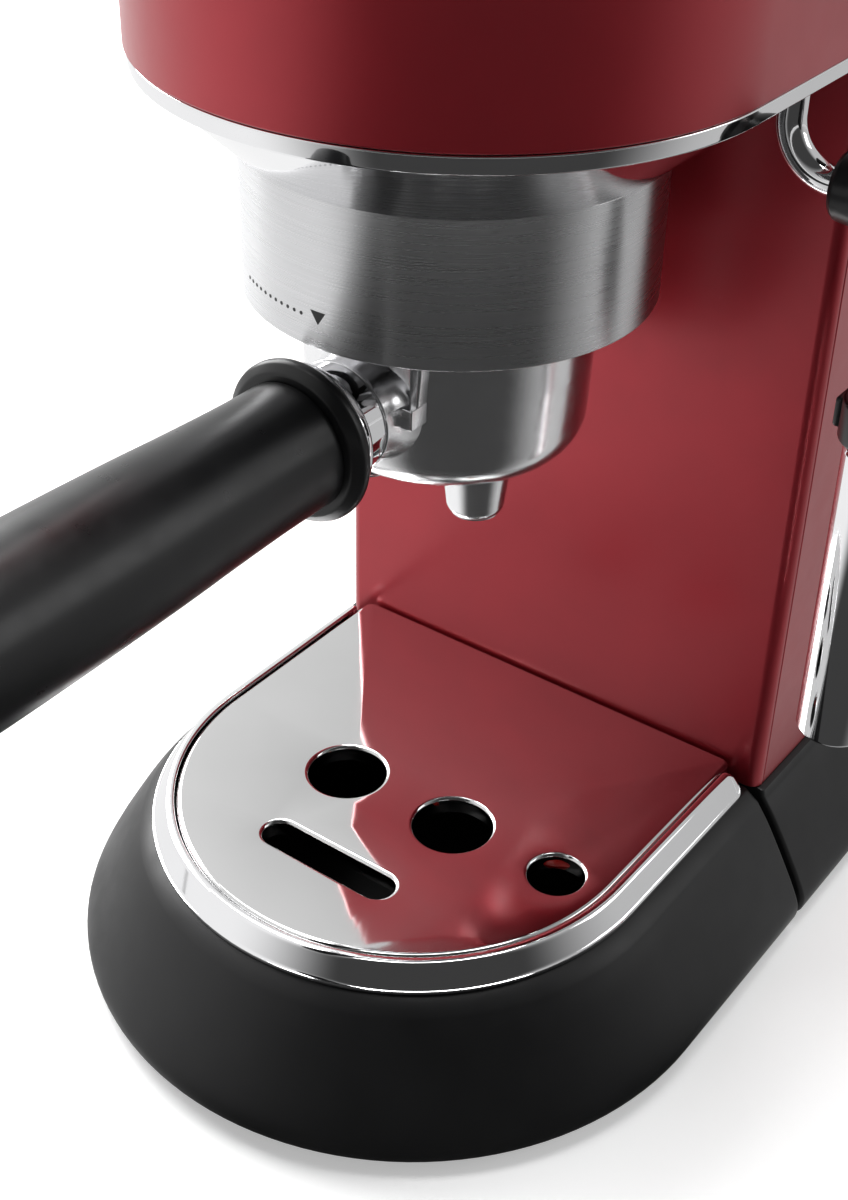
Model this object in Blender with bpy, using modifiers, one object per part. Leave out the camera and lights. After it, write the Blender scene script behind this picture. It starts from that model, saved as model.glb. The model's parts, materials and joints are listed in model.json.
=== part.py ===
"""Slim espresso machine, modelled as an assembly of separate named pieces.

Metres, +Z up. The machine faces -Y and its steam wand is on the +X side. The origin is under the
middle of the whole object, on the surface it stands on. Every place below is given from the
foot of the group head's vertical axis, which the empty "group_axis" holds.
"""
import math

import bmesh
import bpy
from mathutils import Vector

# ---- driving dimensions -------------------------------------------------------------------
GROUP_X = -0.00755
GROUP_Y = -0.0390
GAP = 0.0003

ROUND_STEPS = 24
SMALL_STEPS = 16
ARC_STEPS = 20
CORNER_STEPS = 4
UNDERSIDE_STEPS = 32

# head and column
HEAD_RADIUS = 0.0590
HEAD_CENTRE_Y = 0.0013
HEAD_BOTTOM = 0.2060
HEAD_TOP = 0.2970
COVER_WALL = 0.0014
COLUMN_FRONT = 0.0437
COLUMN_CORNER = 0.0030
COLUMN_BOTTOM = 0.0345
COVER_BACK = 0.1860
MACHINE_TOP = 0.3030

# group head
SKIRT_RADIUS = 0.0394
SKIRT_BOTTOM = 0.1602
SKIRT_TOP = 0.1880
TRIM_RADIUS = 0.0586
TRIM_BOTTOM = 0.2024
GROUP_BODY_RADIUS = 0.0378
GROUP_CAVITY_RADIUS = 0.0350

# base and drip tray
BASE_HALF_WIDTH = 0.0745
BASE_CENTRE_Y = -0.0088
BASE_BACK = 0.2467
BASE_CORNER = 0.0220
DECK_HALF_WIDTH = 0.0592
DECK_TOP = 0.0342
DECK_UNDER = 0.0305
TRAY_BACK = 0.0434
BASE_FRONT = 0.0450
TRAY_TOP = 0.0346
TRAY_FLOOR = 0.0076
GRILLE_TOP = 0.0403
GRILLE_RADIUS = 0.0524
TONGUE_HALF_WIDTH = 0.0460
TONGUE_BOTTOM = 0.0021
TONGUE_TOP = 0.0048
FLOAT_X = 0.0410
FLOAT_Y = -0.0130
DRAIN_X = 0.0146
DRAIN_Y = -0.0137
SLOT_Y = -0.0387
SLOT_HALF_LENGTH = 0.0174
SLOT_RADIUS = 0.0042

# portafilter
HOLDER_RADIUS = 0.0281
HOLDER_BOTTOM = 0.1270
HANDLE_Z = 0.1445
NECK_RADIUS = 0.0108
GRIP_END = -0.1660
SPOUT_X = 0.0133
SPOUT_Y = -0.0082

# steam wand
WAND_Y = 0.0250
TUBE_X = 0.0534
TUBE_RADIUS = 0.00275
TUBE_BEND = 0.0100
SWIVEL_Z = 0.1872
SLEEVE_X = 0.0806
SLEEVE_RADIUS = 0.0074
SLEEVE_BOTTOM = 0.0755
SLEEVE_TOP = 0.1405

# steam knob
KNOB_Y = 0.0400
KNOB_Z = 0.2520
KNOB_RADIUS = 0.0190

# water tank
TANK_FRONT = 0.1866
TANK_BACK = 0.2314
TANK_BOTTOM = 0.0350
TANK_TOP = 0.2954
TANK_WALL = 0.0025
TANK_CORNER = 0.0067
LID_TOP = 0.3005
TANK_SEAT_Y = 0.2090
PUMP_Y = 0.0950

ORIGIN = Vector((0.0, 0.0, 0.0))

# each pivot is a point on its joint's axis, from the foot of the group axis
PIVOTS = {
    "portafilter_pivot": (0.0, 0.0, HANDLE_Z),
    "tray_slide": (0.0, 0.0, 0.0),
    "float_slide": (FLOAT_X, FLOAT_Y, 0.0),
    "wand_pivot": (0.0640, WAND_Y, SWIVEL_Z),
    "selector_slide": (SLEEVE_X, WAND_Y, 0.1500),
    "steam_knob_pivot": (HEAD_RADIUS, KNOB_Y, KNOB_Z),
    "tank_slide": (0.0, 0.2090, TANK_BOTTOM),
    "lid_pivot": (0.0, 0.1886, 0.2988),
    "switch_pivot": (0.0300, 0.2385, 0.0185),
    "button_one_slide": (-0.0260, -0.0250, HEAD_TOP),
    "button_two_slide": (0.0, -0.0250, HEAD_TOP),
    "button_steam_slide": (0.0260, -0.0250, HEAD_TOP),
}

COLOURS = {
    "red_paint": ((0.36, 0.030, 0.035), 0.35, 0.6),
    "chrome": ((0.80, 0.80, 0.81), 0.06, 1.0),
    "brushed_steel": ((0.55, 0.54, 0.53), 0.32, 1.0),
    "cast_metal": ((0.66, 0.65, 0.64), 0.18, 1.0),
    "black_plastic": ((0.028, 0.028, 0.030), 0.55, 0.0),
    "gloss_black": ((0.012, 0.012, 0.013), 0.15, 0.0),
    "rubber": ((0.020, 0.020, 0.020), 0.80, 0.0),
    "silicone": ((0.62, 0.60, 0.56), 0.45, 0.0),
    "brass": ((0.72, 0.52, 0.22), 0.25, 1.0),
    "aluminium": ((0.62, 0.62, 0.63), 0.35, 1.0),
    "smoke_plastic": ((0.05, 0.05, 0.055), 0.12, 0.0),
    "board_green": ((0.02, 0.13, 0.06), 0.45, 0.0),
    "signal_red": ((0.60, 0.02, 0.02), 0.35, 0.0),
}


# ---- scene and materials ------------------------------------------------------------------
def clear_scene():
    for obj in list(bpy.data.objects):
        bpy.data.objects.remove(obj, do_unlink=True)


def new_collection(name):
    collection = bpy.data.collections.new(name)
    bpy.context.scene.collection.children.link(collection)
    return collection


def new_empty(name, at, parent=None):
    empty = bpy.data.objects.new(name, None)
    empty.location = at
    empty.parent = parent
    PARTS.objects.link(empty)
    return empty


def material(node_name, colour_name):
    colour, roughness, metallic = COLOURS[colour_name]
    made = bpy.data.materials.new(node_name + "_" + colour_name)
    made.use_nodes = True
    shader = made.node_tree.nodes["Principled BSDF"]
    shader.inputs["Base Color"].default_value = (*colour, 1.0)
    shader.inputs["Roughness"].default_value = roughness
    shader.inputs["Metallic"].default_value = metallic
    return made


# ---- outlines -----------------------------------------------------------------------------
def arc(centre_x, centre_y, radius, start_deg, end_deg, steps):
    """Points along an arc, ends included."""
    turn = math.radians(end_deg - start_deg) / steps
    start = math.radians(start_deg)
    return [
        (centre_x + radius * math.cos(start + turn * i), centre_y + radius * math.sin(start + turn * i))
        for i in range(steps + 1)
    ]


def circle(centre_x, centre_y, radius, steps=SMALL_STEPS):
    return arc(centre_x, centre_y, radius, 0, 360, steps)[:-1]


def round_front(radius, centre_y, back_y, steps=ARC_STEPS):
    """A plan outline with a half-round front, straight sides and an open or flat back."""
    return [(-radius, back_y), *arc(0.0, centre_y, radius, 180, 360, steps), (radius, back_y)]


def round_back(half_width, front_y, back_y, corner, steps=CORNER_STEPS):
    """A plan outline with a flat front and two rounded back corners."""
    right = arc(half_width - corner, back_y - corner, corner, 0, 90, steps)
    left = arc(corner - half_width, back_y - corner, corner, 90, 180, steps)
    return [(-half_width, front_y), (half_width, front_y), *right, *left]


def rounded_box(centre_x, centre_y, half_x, half_y, corner, steps=CORNER_STEPS):
    x, y = half_x - corner, half_y - corner
    corners = ((x, y, 0), (-x, y, 90), (-x, -y, 180), (x, -y, 270))
    return [
        point
        for corner_x, corner_y, start in corners
        for point in arc(centre_x + corner_x, centre_y + corner_y, corner, start, start + 90, steps)
    ]


def capsule(centre_x, centre_y, half_length, radius, steps=8):
    """A slot outline along X."""
    right = arc(centre_x + half_length, centre_y, radius, -90, 90, steps)
    left = arc(centre_x - half_length, centre_y, radius, 90, 270, steps)
    return right + left


# ---- meshes -------------------------------------------------------------------------------
def to_mesh(bm, name):
    bmesh.ops.recalc_face_normals(bm, faces=bm.faces)
    mesh = bpy.data.meshes.new(name)
    bm.to_mesh(mesh)
    bm.free()
    return mesh


def block_mesh(size):
    bm = bmesh.new()
    bmesh.ops.create_cube(bm, size=1.0)
    bmesh.ops.scale(bm, vec=size, verts=bm.verts)
    return to_mesh(bm, "block")


def round_mesh(radius, depth, steps=ROUND_STEPS):
    bm = bmesh.new()
    bmesh.ops.create_cone(
        bm,
        cap_ends=True,
        segments=steps,
        radius1=radius,
        radius2=radius,
        depth=depth,
    )
    return to_mesh(bm, "round")


def flat_mesh(outlines, bottom, top):
    """A flat plate from a filled 2D curve. The first outline is its edge, the rest are holes."""
    curve = bpy.data.curves.new("outline", "CURVE")
    curve.dimensions = "2D"
    curve.fill_mode = "BOTH"
    curve.extrude = (top - bottom) / 2
    for outline in outlines:
        spline = curve.splines.new("POLY")
        spline.points.add(len(outline) - 1)
        for point, (x, y) in zip(spline.points, outline):
            point.co = (x, y, 0.0, 1.0)
        spline.use_cyclic_u = True
    holder = bpy.data.objects.new("outline", curve)
    bpy.context.scene.collection.objects.link(holder)
    bpy.context.view_layer.update()
    evaluated = holder.evaluated_get(bpy.context.evaluated_depsgraph_get())
    plate = bpy.data.meshes.new_from_object(evaluated)
    bpy.data.objects.remove(holder, do_unlink=True)
    bm = bmesh.new()
    bm.from_mesh(plate)
    bmesh.ops.remove_doubles(bm, verts=bm.verts, dist=1e-6)
    bmesh.ops.translate(bm, vec=(0.0, 0.0, (top + bottom) / 2), verts=bm.verts)
    bpy.data.meshes.remove(plate)
    return to_mesh(bm, "plate")


def loft_mesh(rings, joined=False):
    """Faces between rings of (outline, z). The end rings are capped, or joined to each other."""
    bm = bmesh.new()
    loops = [[bm.verts.new((x, y, z)) for x, y in outline] for outline, z in rings]
    pairs = list(zip(loops, loops[1:]))
    if joined:
        pairs.append((loops[-1], loops[0]))
    else:
        bm.faces.new(loops[0])
        bm.faces.new(loops[-1])
    count = len(loops[0])
    for lower, upper in pairs:
        for i in range(count):
            after = (i + 1) % count
            bm.faces.new((lower[i], lower[after], upper[after], upper[i]))
    return to_mesh(bm, "loft")


def swept_section_mesh(sections):
    """A bar that follows an open path: each section is a list of 3D points, the ends are capped."""
    bm = bmesh.new()
    loops = [[bm.verts.new(point) for point in section] for section in sections]
    bm.faces.new(loops[0])
    bm.faces.new(loops[-1])
    count = len(loops[0])
    for before, after in zip(loops, loops[1:]):
        for i in range(count):
            j = (i + 1) % count
            bm.faces.new((before[i], before[j], after[j], after[i]))
    return to_mesh(bm, "bar")


def channel_mesh(section, centre_y, back_y, steps=ARC_STEPS):
    """A bar of (offset, height) section that follows a round-front outline and ends at back_y."""
    paths = [round_front(offset, centre_y, back_y, steps) for offset, height in section]
    heights = [height for offset, height in section]
    sections = [[(*point, height) for point, height in zip(station, heights)] for station in zip(*paths)]
    return swept_section_mesh(sections)


# ---- objects ------------------------------------------------------------------------------
def place(obj, at, holder, turned=(0.0, 0.0, 0.0)):
    parent = EMPTIES[holder]
    start = Vector(PIVOTS[holder]) if holder in PIVOTS else ORIGIN
    obj.location = Vector(at) - start
    obj.rotation_euler = [math.radians(angle) for angle in turned]
    obj.parent = parent


def piece(name, mesh, colour_name, at=(0.0, 0.0, 0.0), holder="group_axis", turned=(0.0, 0.0, 0.0),
          smooth=False):
    obj = bpy.data.objects.new(name, mesh)
    mesh.name = name
    mesh.materials.append(material(name, colour_name))
    if smooth:
        mesh.shade_smooth()
        mesh.set_sharp_from_angle(angle=math.radians(35))
    PARTS.objects.link(obj)
    place(obj, at, holder, turned)
    return obj


def soften(obj, width, segments=2, angle_deg=40):
    bevel = obj.modifiers.new("soft_edges", "BEVEL")
    bevel.width = width
    bevel.segments = segments
    bevel.limit_method = "ANGLE"
    bevel.angle_limit = math.radians(angle_deg)
    return obj


def turned_piece(name, profile, colour_name, at=(0.0, 0.0, 0.0), holder="group_axis", turned=(0.0, 0.0, 0.0),
                 ring=False, steps=ROUND_STEPS):
    """A turned piece: (radius, height) points run down its outer side. A ring's profile is closed."""
    mesh = bpy.data.meshes.new(name)
    count = len(profile)
    edges = [(i, i + 1) for i in range(count - 1)]
    if ring:
        edges.append((count - 1, 0))
    mesh.from_pydata([(radius, 0.0, height) for radius, height in profile], edges, [])
    obj = piece(name, mesh, colour_name, at, holder, turned)
    screw = obj.modifiers.new("turn", "SCREW")
    screw.axis = "Z"
    screw.angle = math.tau
    screw.steps = steps
    screw.render_steps = steps
    screw.use_merge_vertices = True
    screw.merge_threshold = 0.00001
    screw.use_smooth_shade = True
    return obj


def tube(name, points, radius, colour_name, holder="group_axis", resolution=2):
    curve = bpy.data.curves.new(name, "CURVE")
    curve.dimensions = "3D"
    curve.bevel_depth = radius
    curve.bevel_resolution = resolution
    curve.use_fill_caps = True
    start = Vector(PIVOTS[holder]) if holder in PIVOTS else ORIGIN
    spline = curve.splines.new("POLY")
    spline.points.add(len(points) - 1)
    for point, place_of_point in zip(spline.points, points):
        point.co = (*(Vector(place_of_point) - start), 1.0)
    curve.materials.append(material(name, colour_name))
    obj = bpy.data.objects.new(name, curve)
    obj.parent = EMPTIES[holder]
    PARTS.objects.link(obj)
    return obj


def smooth_route(knots, per_span=5):
    """Catmull-Rom points through the given knots, for a hose that bends freely."""
    knots = [Vector(knot) for knot in knots]
    padded = [2 * knots[0] - knots[1], *knots, 2 * knots[-1] - knots[-2]]
    points = []
    for a, b, c, d in zip(padded, padded[1:], padded[2:], padded[3:]):
        for step in range(per_span):
            t = step / per_span
            square = (2 * a - 5 * b + 4 * c - d) * t**2
            cube = (3 * b - a - 3 * c + d) * t**3
            points.append(0.5 * (2 * b + (c - a) * t + square + cube))
    points.append(knots[-1])
    return points


def cut(
    target, mesh, at=(0.0, 0.0, 0.0), holder="group_axis", turned=(0.0, 0.0, 0.0), operation="DIFFERENCE"
):
    """Cuts a mesh's shape out of the target, or joins it on."""
    tool = bpy.data.objects.new(target.name + "_tool", mesh)
    CUTTERS.objects.link(tool)
    place(tool, at, holder, turned)
    tool.display_type = "WIRE"
    tool.hide_render = True
    boolean = target.modifiers.new("cut", "BOOLEAN")
    boolean.operation = operation
    boolean.solver = "EXACT"
    boolean.object = tool
    return target


def join(target, mesh, at=(0.0, 0.0, 0.0), holder="group_axis", turned=(0.0, 0.0, 0.0)):
    return cut(target, mesh, at, holder, turned, operation="UNION")


# ---- base ---------------------------------------------------------------------------------
def flare_offsets():
    """The flared side of the base, from the floor up: (half width, height)."""
    return [
        (0.0724, 0.0026),
        (0.0738, 0.0046),
        (0.0743, 0.0070),
        (0.0738, 0.0095),
        (0.0720, 0.0134),
        (0.0695, 0.0180),
        (0.0665, 0.0232),
        (0.0635, 0.0281),
        (0.0605, 0.0322),
    ]


def base_ring(half_width):
    inset = BASE_HALF_WIDTH - half_width
    return round_back(half_width, BASE_FRONT, BASE_BACK - inset, BASE_CORNER - inset)


def base_chassis():
    """The rear base: a hollow flared box, open below, with a flat tongue that lies under the tray."""
    rings = [(base_ring(width), height) for width, height in flare_offsets()]
    rings.append((base_ring(DECK_HALF_WIDTH), DECK_TOP))
    chassis = piece("base_chassis", loft_mesh(rings), "black_plastic", smooth=True)
    inside = []
    for width, height in ((0.0689, 0.0), (0.0689, 0.0134), (0.0590, DECK_UNDER)):
        ring = [(x, max(y, BASE_FRONT + 0.0030)) for x, y in base_ring(width)]
        inside.append((ring, height))
    cut(chassis, loft_mesh(inside))
    tongue_outline = round_front(TONGUE_HALF_WIDTH, -0.0100, BASE_FRONT + 0.001)
    tongue = flat_mesh([tongue_outline], TONGUE_BOTTOM + 0.0006, TONGUE_TOP)
    join(chassis, tongue)
    cut(chassis, block_mesh((0.021, 0.020, 0.013)), (0.0300, 0.2440, 0.0185))
    cut(chassis, round_mesh(0.0062, 0.030, steps=SMALL_STEPS), (-0.0300, 0.2400, 0.0165), turned=(90, 0, 0))
    cut(chassis, round_mesh(0.0074, 0.010, steps=SMALL_STEPS), (0.0, TANK_SEAT_Y, DECK_TOP))
    cut(chassis, round_mesh(0.0050, 0.010, steps=SMALL_STEPS), (0.0, PUMP_Y, DECK_TOP))
    return chassis


def bottom_plate():
    outline = round_back(0.0670, BASE_FRONT + 0.0040, BASE_BACK - 0.0085, 0.0150)
    return piece("bottom_plate", flat_mesh([outline], 0.0028, 0.0046), "black_plastic")


def feet():
    places = {
        "foot_front_left": (-0.0340, -0.0280, TONGUE_BOTTOM + 0.0006),
        "foot_front_right": (0.0340, -0.0280, TONGUE_BOTTOM + 0.0006),
        "foot_rear_left": (-0.0500, 0.2220, 0.0028),
        "foot_rear_right": (0.0500, 0.2220, 0.0028),
    }
    for name, (x, y, ceiling) in places.items():
        top = ceiling - GAP
        foot = piece(name, round_mesh(0.0085, top, steps=SMALL_STEPS), "rubber", (x, y, top / 2))
        foot.data.shade_flat()


def drip_tray():
    """The tray that catches drips: flared sides, an open bowl, and a pocket below for the tongue."""
    rings = [(round_front(width, BASE_CENTRE_Y, TRAY_BACK), height) for width, height in flare_offsets()]
    rings.append((round_front(0.0574, BASE_CENTRE_Y, TRAY_BACK), TRAY_TOP))
    tray = piece("drip_tray", loft_mesh(rings), "black_plastic", holder="tray_slide", smooth=True)
    bowl = [
        (round_front(0.0470, BASE_CENTRE_Y, TRAY_BACK - 0.0035), TRAY_FLOOR),
        (round_front(0.0500, BASE_CENTRE_Y, TRAY_BACK - 0.0030), TRAY_FLOOR + 0.0050),
        (round_front(0.0500, BASE_CENTRE_Y, TRAY_BACK - 0.0030), TRAY_TOP + 0.0050),
    ]
    cut(tray, loft_mesh(bowl), holder="tray_slide")
    skirt_hollow = (
        (0.0530, -0.0010),
        (0.0690, -0.0010),
        (0.0690, 0.0134),
        (0.0590, 0.0290),
        (0.0530, 0.0290),
    )
    cut(tray, channel_mesh(skirt_hollow, BASE_CENTRE_Y, TRAY_BACK + 0.0100), holder="tray_slide")
    pocket = round_front(TONGUE_HALF_WIDTH + 0.0010, -0.0100, TRAY_BACK + 0.0100)
    cut(tray, flat_mesh([pocket], 0.0, TONGUE_TOP + 0.0005), holder="tray_slide")
    return tray


def tray_rim():
    """The bevelled chrome rim, which follows the tray's round front and ends beside the column."""
    section = ((0.0528, 0.0349), (0.0576, 0.0349), (0.0576, 0.0358), (0.0540, 0.0404), (0.0528, 0.0407))
    rim = channel_mesh(section, BASE_CENTRE_Y, 0.0400)
    return piece("tray_rim", rim, "chrome", holder="tray_slide", smooth=True)


def cup_grille():
    """The lift-out grille: a chrome plate with a turned-down edge that stands on the tray."""
    wall = 0.0012
    edge_back = TRAY_BACK - 0.0002
    outer = round_front(GRILLE_RADIUS, BASE_CENTRE_Y, edge_back)
    inner = round_front(GRILLE_RADIUS - wall, BASE_CENTRE_Y, edge_back - wall)
    foot = TRAY_TOP + GAP
    rings = [(inner, GRILLE_TOP - wall), (inner, foot), (outer, foot), (outer, GRILLE_TOP)]
    grille = piece("cup_grille", loft_mesh(rings), "chrome", holder="tray_slide")
    holes = [circle(side * DRAIN_X, DRAIN_Y, 0.0092) for side in (-1, 1)]
    holes.append(circle(FLOAT_X, FLOAT_Y, 0.0066))
    holes.append(capsule(0.0, SLOT_Y, SLOT_HALF_LENGTH, SLOT_RADIUS))
    for hole in holes:
        cut(grille, flat_mesh([hole], GRILLE_TOP - 0.004, GRILLE_TOP + 0.002), holder="tray_slide")
    return grille


def float_indicator():
    foot = TRAY_FLOOR + 0.0005
    profile = [(0.0, 0.0300), (0.0034, 0.0300), (0.0041, 0.0290), (0.0041, foot), (0.0, foot)]
    at = (FLOAT_X, FLOAT_Y, 0.0)
    return turned_piece("float_indicator", profile, "signal_red", at, "float_slide", steps=16)


# ---- column and head covers ---------------------------------------------------------------
def head_cover():
    """The painted wrap: the round head and both side panels, which run down beside the column."""
    section = (
        (HEAD_RADIUS, COLUMN_BOTTOM),
        (HEAD_RADIUS, HEAD_TOP),
        (HEAD_RADIUS - COVER_WALL, HEAD_TOP),
        (HEAD_RADIUS - COVER_WALL, COLUMN_BOTTOM),
    )
    cover = piece("head_cover", channel_mesh(section, HEAD_CENTRE_Y, COVER_BACK), "red_paint", smooth=True)
    seam_y = COLUMN_FRONT + COLUMN_CORNER + GAP
    depth = seam_y + 0.100
    cut(cover, block_mesh((0.200, depth, HEAD_BOTTOM)), (0.0, seam_y - depth / 2, HEAD_BOTTOM / 2))
    knob_at = (HEAD_RADIUS, KNOB_Y, KNOB_Z)
    cut(cover, round_mesh(0.0056, 0.020, steps=SMALL_STEPS), knob_at, turned=(0, 90, 0))
    return cover


def column_panel():
    """The painted front of the column, with rounded corners that meet the side panels."""
    half = HEAD_RADIUS
    wall = COVER_WALL
    back = COLUMN_FRONT + COLUMN_CORNER
    corner = COLUMN_CORNER
    outer = [
        *arc(corner - half, back, corner, 180, 270, CORNER_STEPS),
        *arc(half - corner, back, corner, 270, 360, CORNER_STEPS),
    ]
    inner = [
        *arc(half - corner, back, corner - wall, 360, 270, CORNER_STEPS),
        *arc(corner - half, back, corner - wall, 270, 180, CORNER_STEPS),
    ]
    panel = flat_mesh([outer + inner], COLUMN_BOTTOM, HEAD_BOTTOM - GAP)
    return piece("column_panel", panel, "red_paint", smooth=True)


def trim_ring():
    """The chrome band along the head's lower edge."""
    inner = TRIM_RADIUS - 0.0012
    top = HEAD_BOTTOM - GAP
    section = (
        (inner, TRIM_BOTTOM),
        (TRIM_RADIUS - 0.0004, TRIM_BOTTOM),
        (TRIM_RADIUS, TRIM_BOTTOM + 0.0008),
        (TRIM_RADIUS, top),
        (inner, top),
    )
    band = channel_mesh(section, HEAD_CENTRE_Y, COLUMN_FRONT - GAP)
    return piece("trim_ring", band, "chrome", smooth=True)


def head_ring(radius, back_y, angles):
    """The head's round-front outline, met by a ray from the group axis at each angle."""
    ring = []
    for angle in angles:
        across, along = math.cos(angle), math.sin(angle)
        reach = HEAD_CENTRE_Y * along + math.sqrt(radius**2 - (HEAD_CENTRE_Y * across) ** 2)
        if reach * along > HEAD_CENTRE_Y:
            side = radius / max(abs(across), 1e-6)
            back = back_y / max(along, 1e-6)
            reach = min(side, back)
        ring.append((reach * across, reach * along))
    return ring


def head_underside():
    """The mirror-bright underside, which draws in from the head's outline to the group skirt."""
    back = COLUMN_FRONT - GAP
    outer = TRIM_RADIUS - 0.0015
    corner = math.atan2(back, outer)
    even = [math.tau * i / UNDERSIDE_STEPS - math.pi / 2 for i in range(UNDERSIDE_STEPS)]
    angles = sorted([*even, corner, math.pi - corner])

    def round_ring(radius):
        return [(radius * math.cos(angle), radius * math.sin(angle)) for angle in angles]

    rings = [
        (head_ring(outer, back, angles), 0.2040),
        (head_ring(outer, back, angles), 0.2028),
        (round_ring(SKIRT_RADIUS + 0.0006), SKIRT_TOP + GAP),
        (round_ring(0.0361), SKIRT_TOP + GAP),
        (round_ring(0.0361), SKIRT_TOP + 0.0016),
        (round_ring(SKIRT_RADIUS - 0.0002), SKIRT_TOP + 0.0018),
        (head_ring(outer - 0.0012, back - 0.0012, angles), 0.2040),
    ]
    shell = piece("head_underside", loft_mesh(rings, joined=True), "chrome", smooth=True)
    cut(shell, round_mesh(TUBE_RADIUS + 0.0004, 0.030, steps=SMALL_STEPS), (TUBE_X, WAND_Y, 0.2000))
    return shell


def group_skirt():
    bottom, top, radius = SKIRT_BOTTOM, SKIRT_TOP, SKIRT_RADIUS
    profile = [
        (radius, top),
        (radius, bottom + 0.0008),
        (radius - 0.0006, bottom),
        (radius - 0.0012, bottom),
        (radius - 0.0012, top - 0.0012),
        (0.0366, top - 0.0012),
        (0.0366, top),
    ]
    return turned_piece("group_skirt", profile, "brushed_steel", ring=True)


# ---- brewing group ------------------------------------------------------------------------
def group_body():
    """The cast block that takes the portafilter, with a neck up to the thermoblock."""
    profile = [
        (0.0, 0.2140),
        (0.0150, 0.2140),
        (0.0150, 0.2020),
        (0.0355, 0.2020),
        (0.0355, 0.1866),
        (GROUP_BODY_RADIUS, 0.1864),
        (GROUP_BODY_RADIUS, 0.1612),
        (GROUP_CAVITY_RADIUS, 0.1612),
        (GROUP_CAVITY_RADIUS, 0.1780),
        (0.0026, 0.1780),
        (0.0026, 0.1860),
        (0.0, 0.1860),
    ]
    return turned_piece("group_body", profile, "aluminium")


def bayonet_ring():
    """The steel ring whose lips hold the portafilter's two lugs, with two gaps to let them in."""
    outer = circle(0.0, 0.0, GROUP_CAVITY_RADIUS - GAP, ROUND_STEPS)
    inner = circle(0.0, 0.0, 0.0292, ROUND_STEPS)
    ring = piece("bayonet_ring", flat_mesh([outer, inner], 0.1612, 0.1640), "brushed_steel", smooth=True)
    for angle in (-60, 120):
        x, y = 0.0299 * math.cos(math.radians(angle)), 0.0299 * math.sin(math.radians(angle))
        cut(ring, block_mesh((0.0058, 0.0112, 0.0100)), (x, y, 0.1626), turned=(0, 0, angle))
    return ring


def gasket_and_screen():
    gasket = [(0.0296, 0.1776), (0.0296, 0.1728), (0.0262, 0.1728), (0.0262, 0.1776)]
    turned_piece("group_gasket", gasket, "rubber", ring=True)
    screen = [
        (0.0256, 0.1776),
        (0.0256, 0.1758),
        (0.0240, 0.1748),
        (0.0030, 0.1748),
        (0.0030, 0.1762),
        (0.0238, 0.1762),
        (0.0244, 0.1776),
    ]
    turned_piece("shower_screen", screen, "brushed_steel", ring=True)
    screw = [
        (0.0, 0.1850),
        (0.0022, 0.1850),
        (0.0022, 0.1745),
        (0.0040, 0.1745),
        (0.0040, 0.1728),
        (0.0, 0.1728),
    ]
    turned_piece("screen_screw", screw, "brushed_steel", steps=16)


def portafilter_body():
    """The cast holder: a cup open at the top, two bayonet lugs and a boss for the handle's neck."""
    z = HANDLE_Z
    profile = [
        (0.0, 0.1297),
        (0.0190, 0.1299),
        (0.0228, 0.1313),
        (0.0246, 0.1345),
        (0.0252, 0.1400),
        (0.0262, 0.1560),
        (0.0262, 0.1719),
        (HOLDER_RADIUS, 0.1719),
        (HOLDER_RADIUS, 0.1460),
        (0.0275, 0.1350),
        (0.0268, 0.1318),
        (0.0250, 0.1293),
        (0.0224, 0.1276),
        (0.0195, HOLDER_BOTTOM),
        (0.0, HOLDER_BOTTOM),
    ]
    lowered = [(radius, height - z) for radius, height in profile]
    at = PIVOTS["portafilter_pivot"]
    body = turned_piece("portafilter_body", lowered, "cast_metal", at, "portafilter_pivot")
    for side in (-1, 1):
        lug = block_mesh((0.0052, 0.0100, 0.0034))
        join(body, lug, (side * 0.0297, 0.0, 0.1662), "portafilter_pivot")
    boss = round_mesh(NECK_RADIUS, 0.0070, steps=SMALL_STEPS)
    join(body, boss, (0.0, -0.0300, z), "portafilter_pivot", turned=(90, 0, 0))
    rib = block_mesh((0.0044, 0.0035, 0.0160))
    join(body, rib, (0.0130, -0.02575, 0.1510), "portafilter_pivot")
    step = block_mesh((0.0024, 0.0050, 0.0042))
    join(body, step, (0.0120, -0.0270, 0.1461), "portafilter_pivot")
    for side in (-1, 1):
        hole = round_mesh(0.0026, 0.0100, steps=16)
        cut(body, hole, (side * SPOUT_X, SPOUT_Y, HOLDER_BOTTOM), "portafilter_pivot")
    return body


def filter_basket():
    profile = [
        (0.0, 0.1482),
        (0.0230, 0.1482),
        (0.0243, 0.1560),
        (0.0249, 0.1716),
        (0.0252, 0.1725),
        (0.0281, 0.1725),
        (0.0281, 0.1722),
        (0.0256, 0.1722),
        (0.0250, 0.1560),
        (0.0238, 0.1480),
        (0.0232, 0.1476),
        (0.0, 0.1476),
    ]
    lowered = [(radius, height - HANDLE_Z) for radius, height in profile]
    at = PIVOTS["portafilter_pivot"]
    return turned_piece("filter_basket", lowered, "brushed_steel", at, "portafilter_pivot")


def spouts():
    """Two tapered pouring spouts under the holder, each a short open cup."""
    top = HOLDER_BOTTOM - GAP
    for name, side in (("spout_left", -1), ("spout_right", 1)):
        profile = [
            (0.0066, top),
            (0.0062, 0.1215),
            (0.0054, 0.1178),
            (0.0042, 0.1178),
            (0.0048, 0.1225),
            (0.0024, 0.1240),
            (0.0024, top),
        ]
        lowered = [(radius, height - HANDLE_Z) for radius, height in profile]
        at = (side * SPOUT_X, SPOUT_Y, HANDLE_Z)
        turned_piece(name, lowered, "cast_metal", at, "portafilter_pivot", ring=True, steps=SMALL_STEPS)


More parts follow.
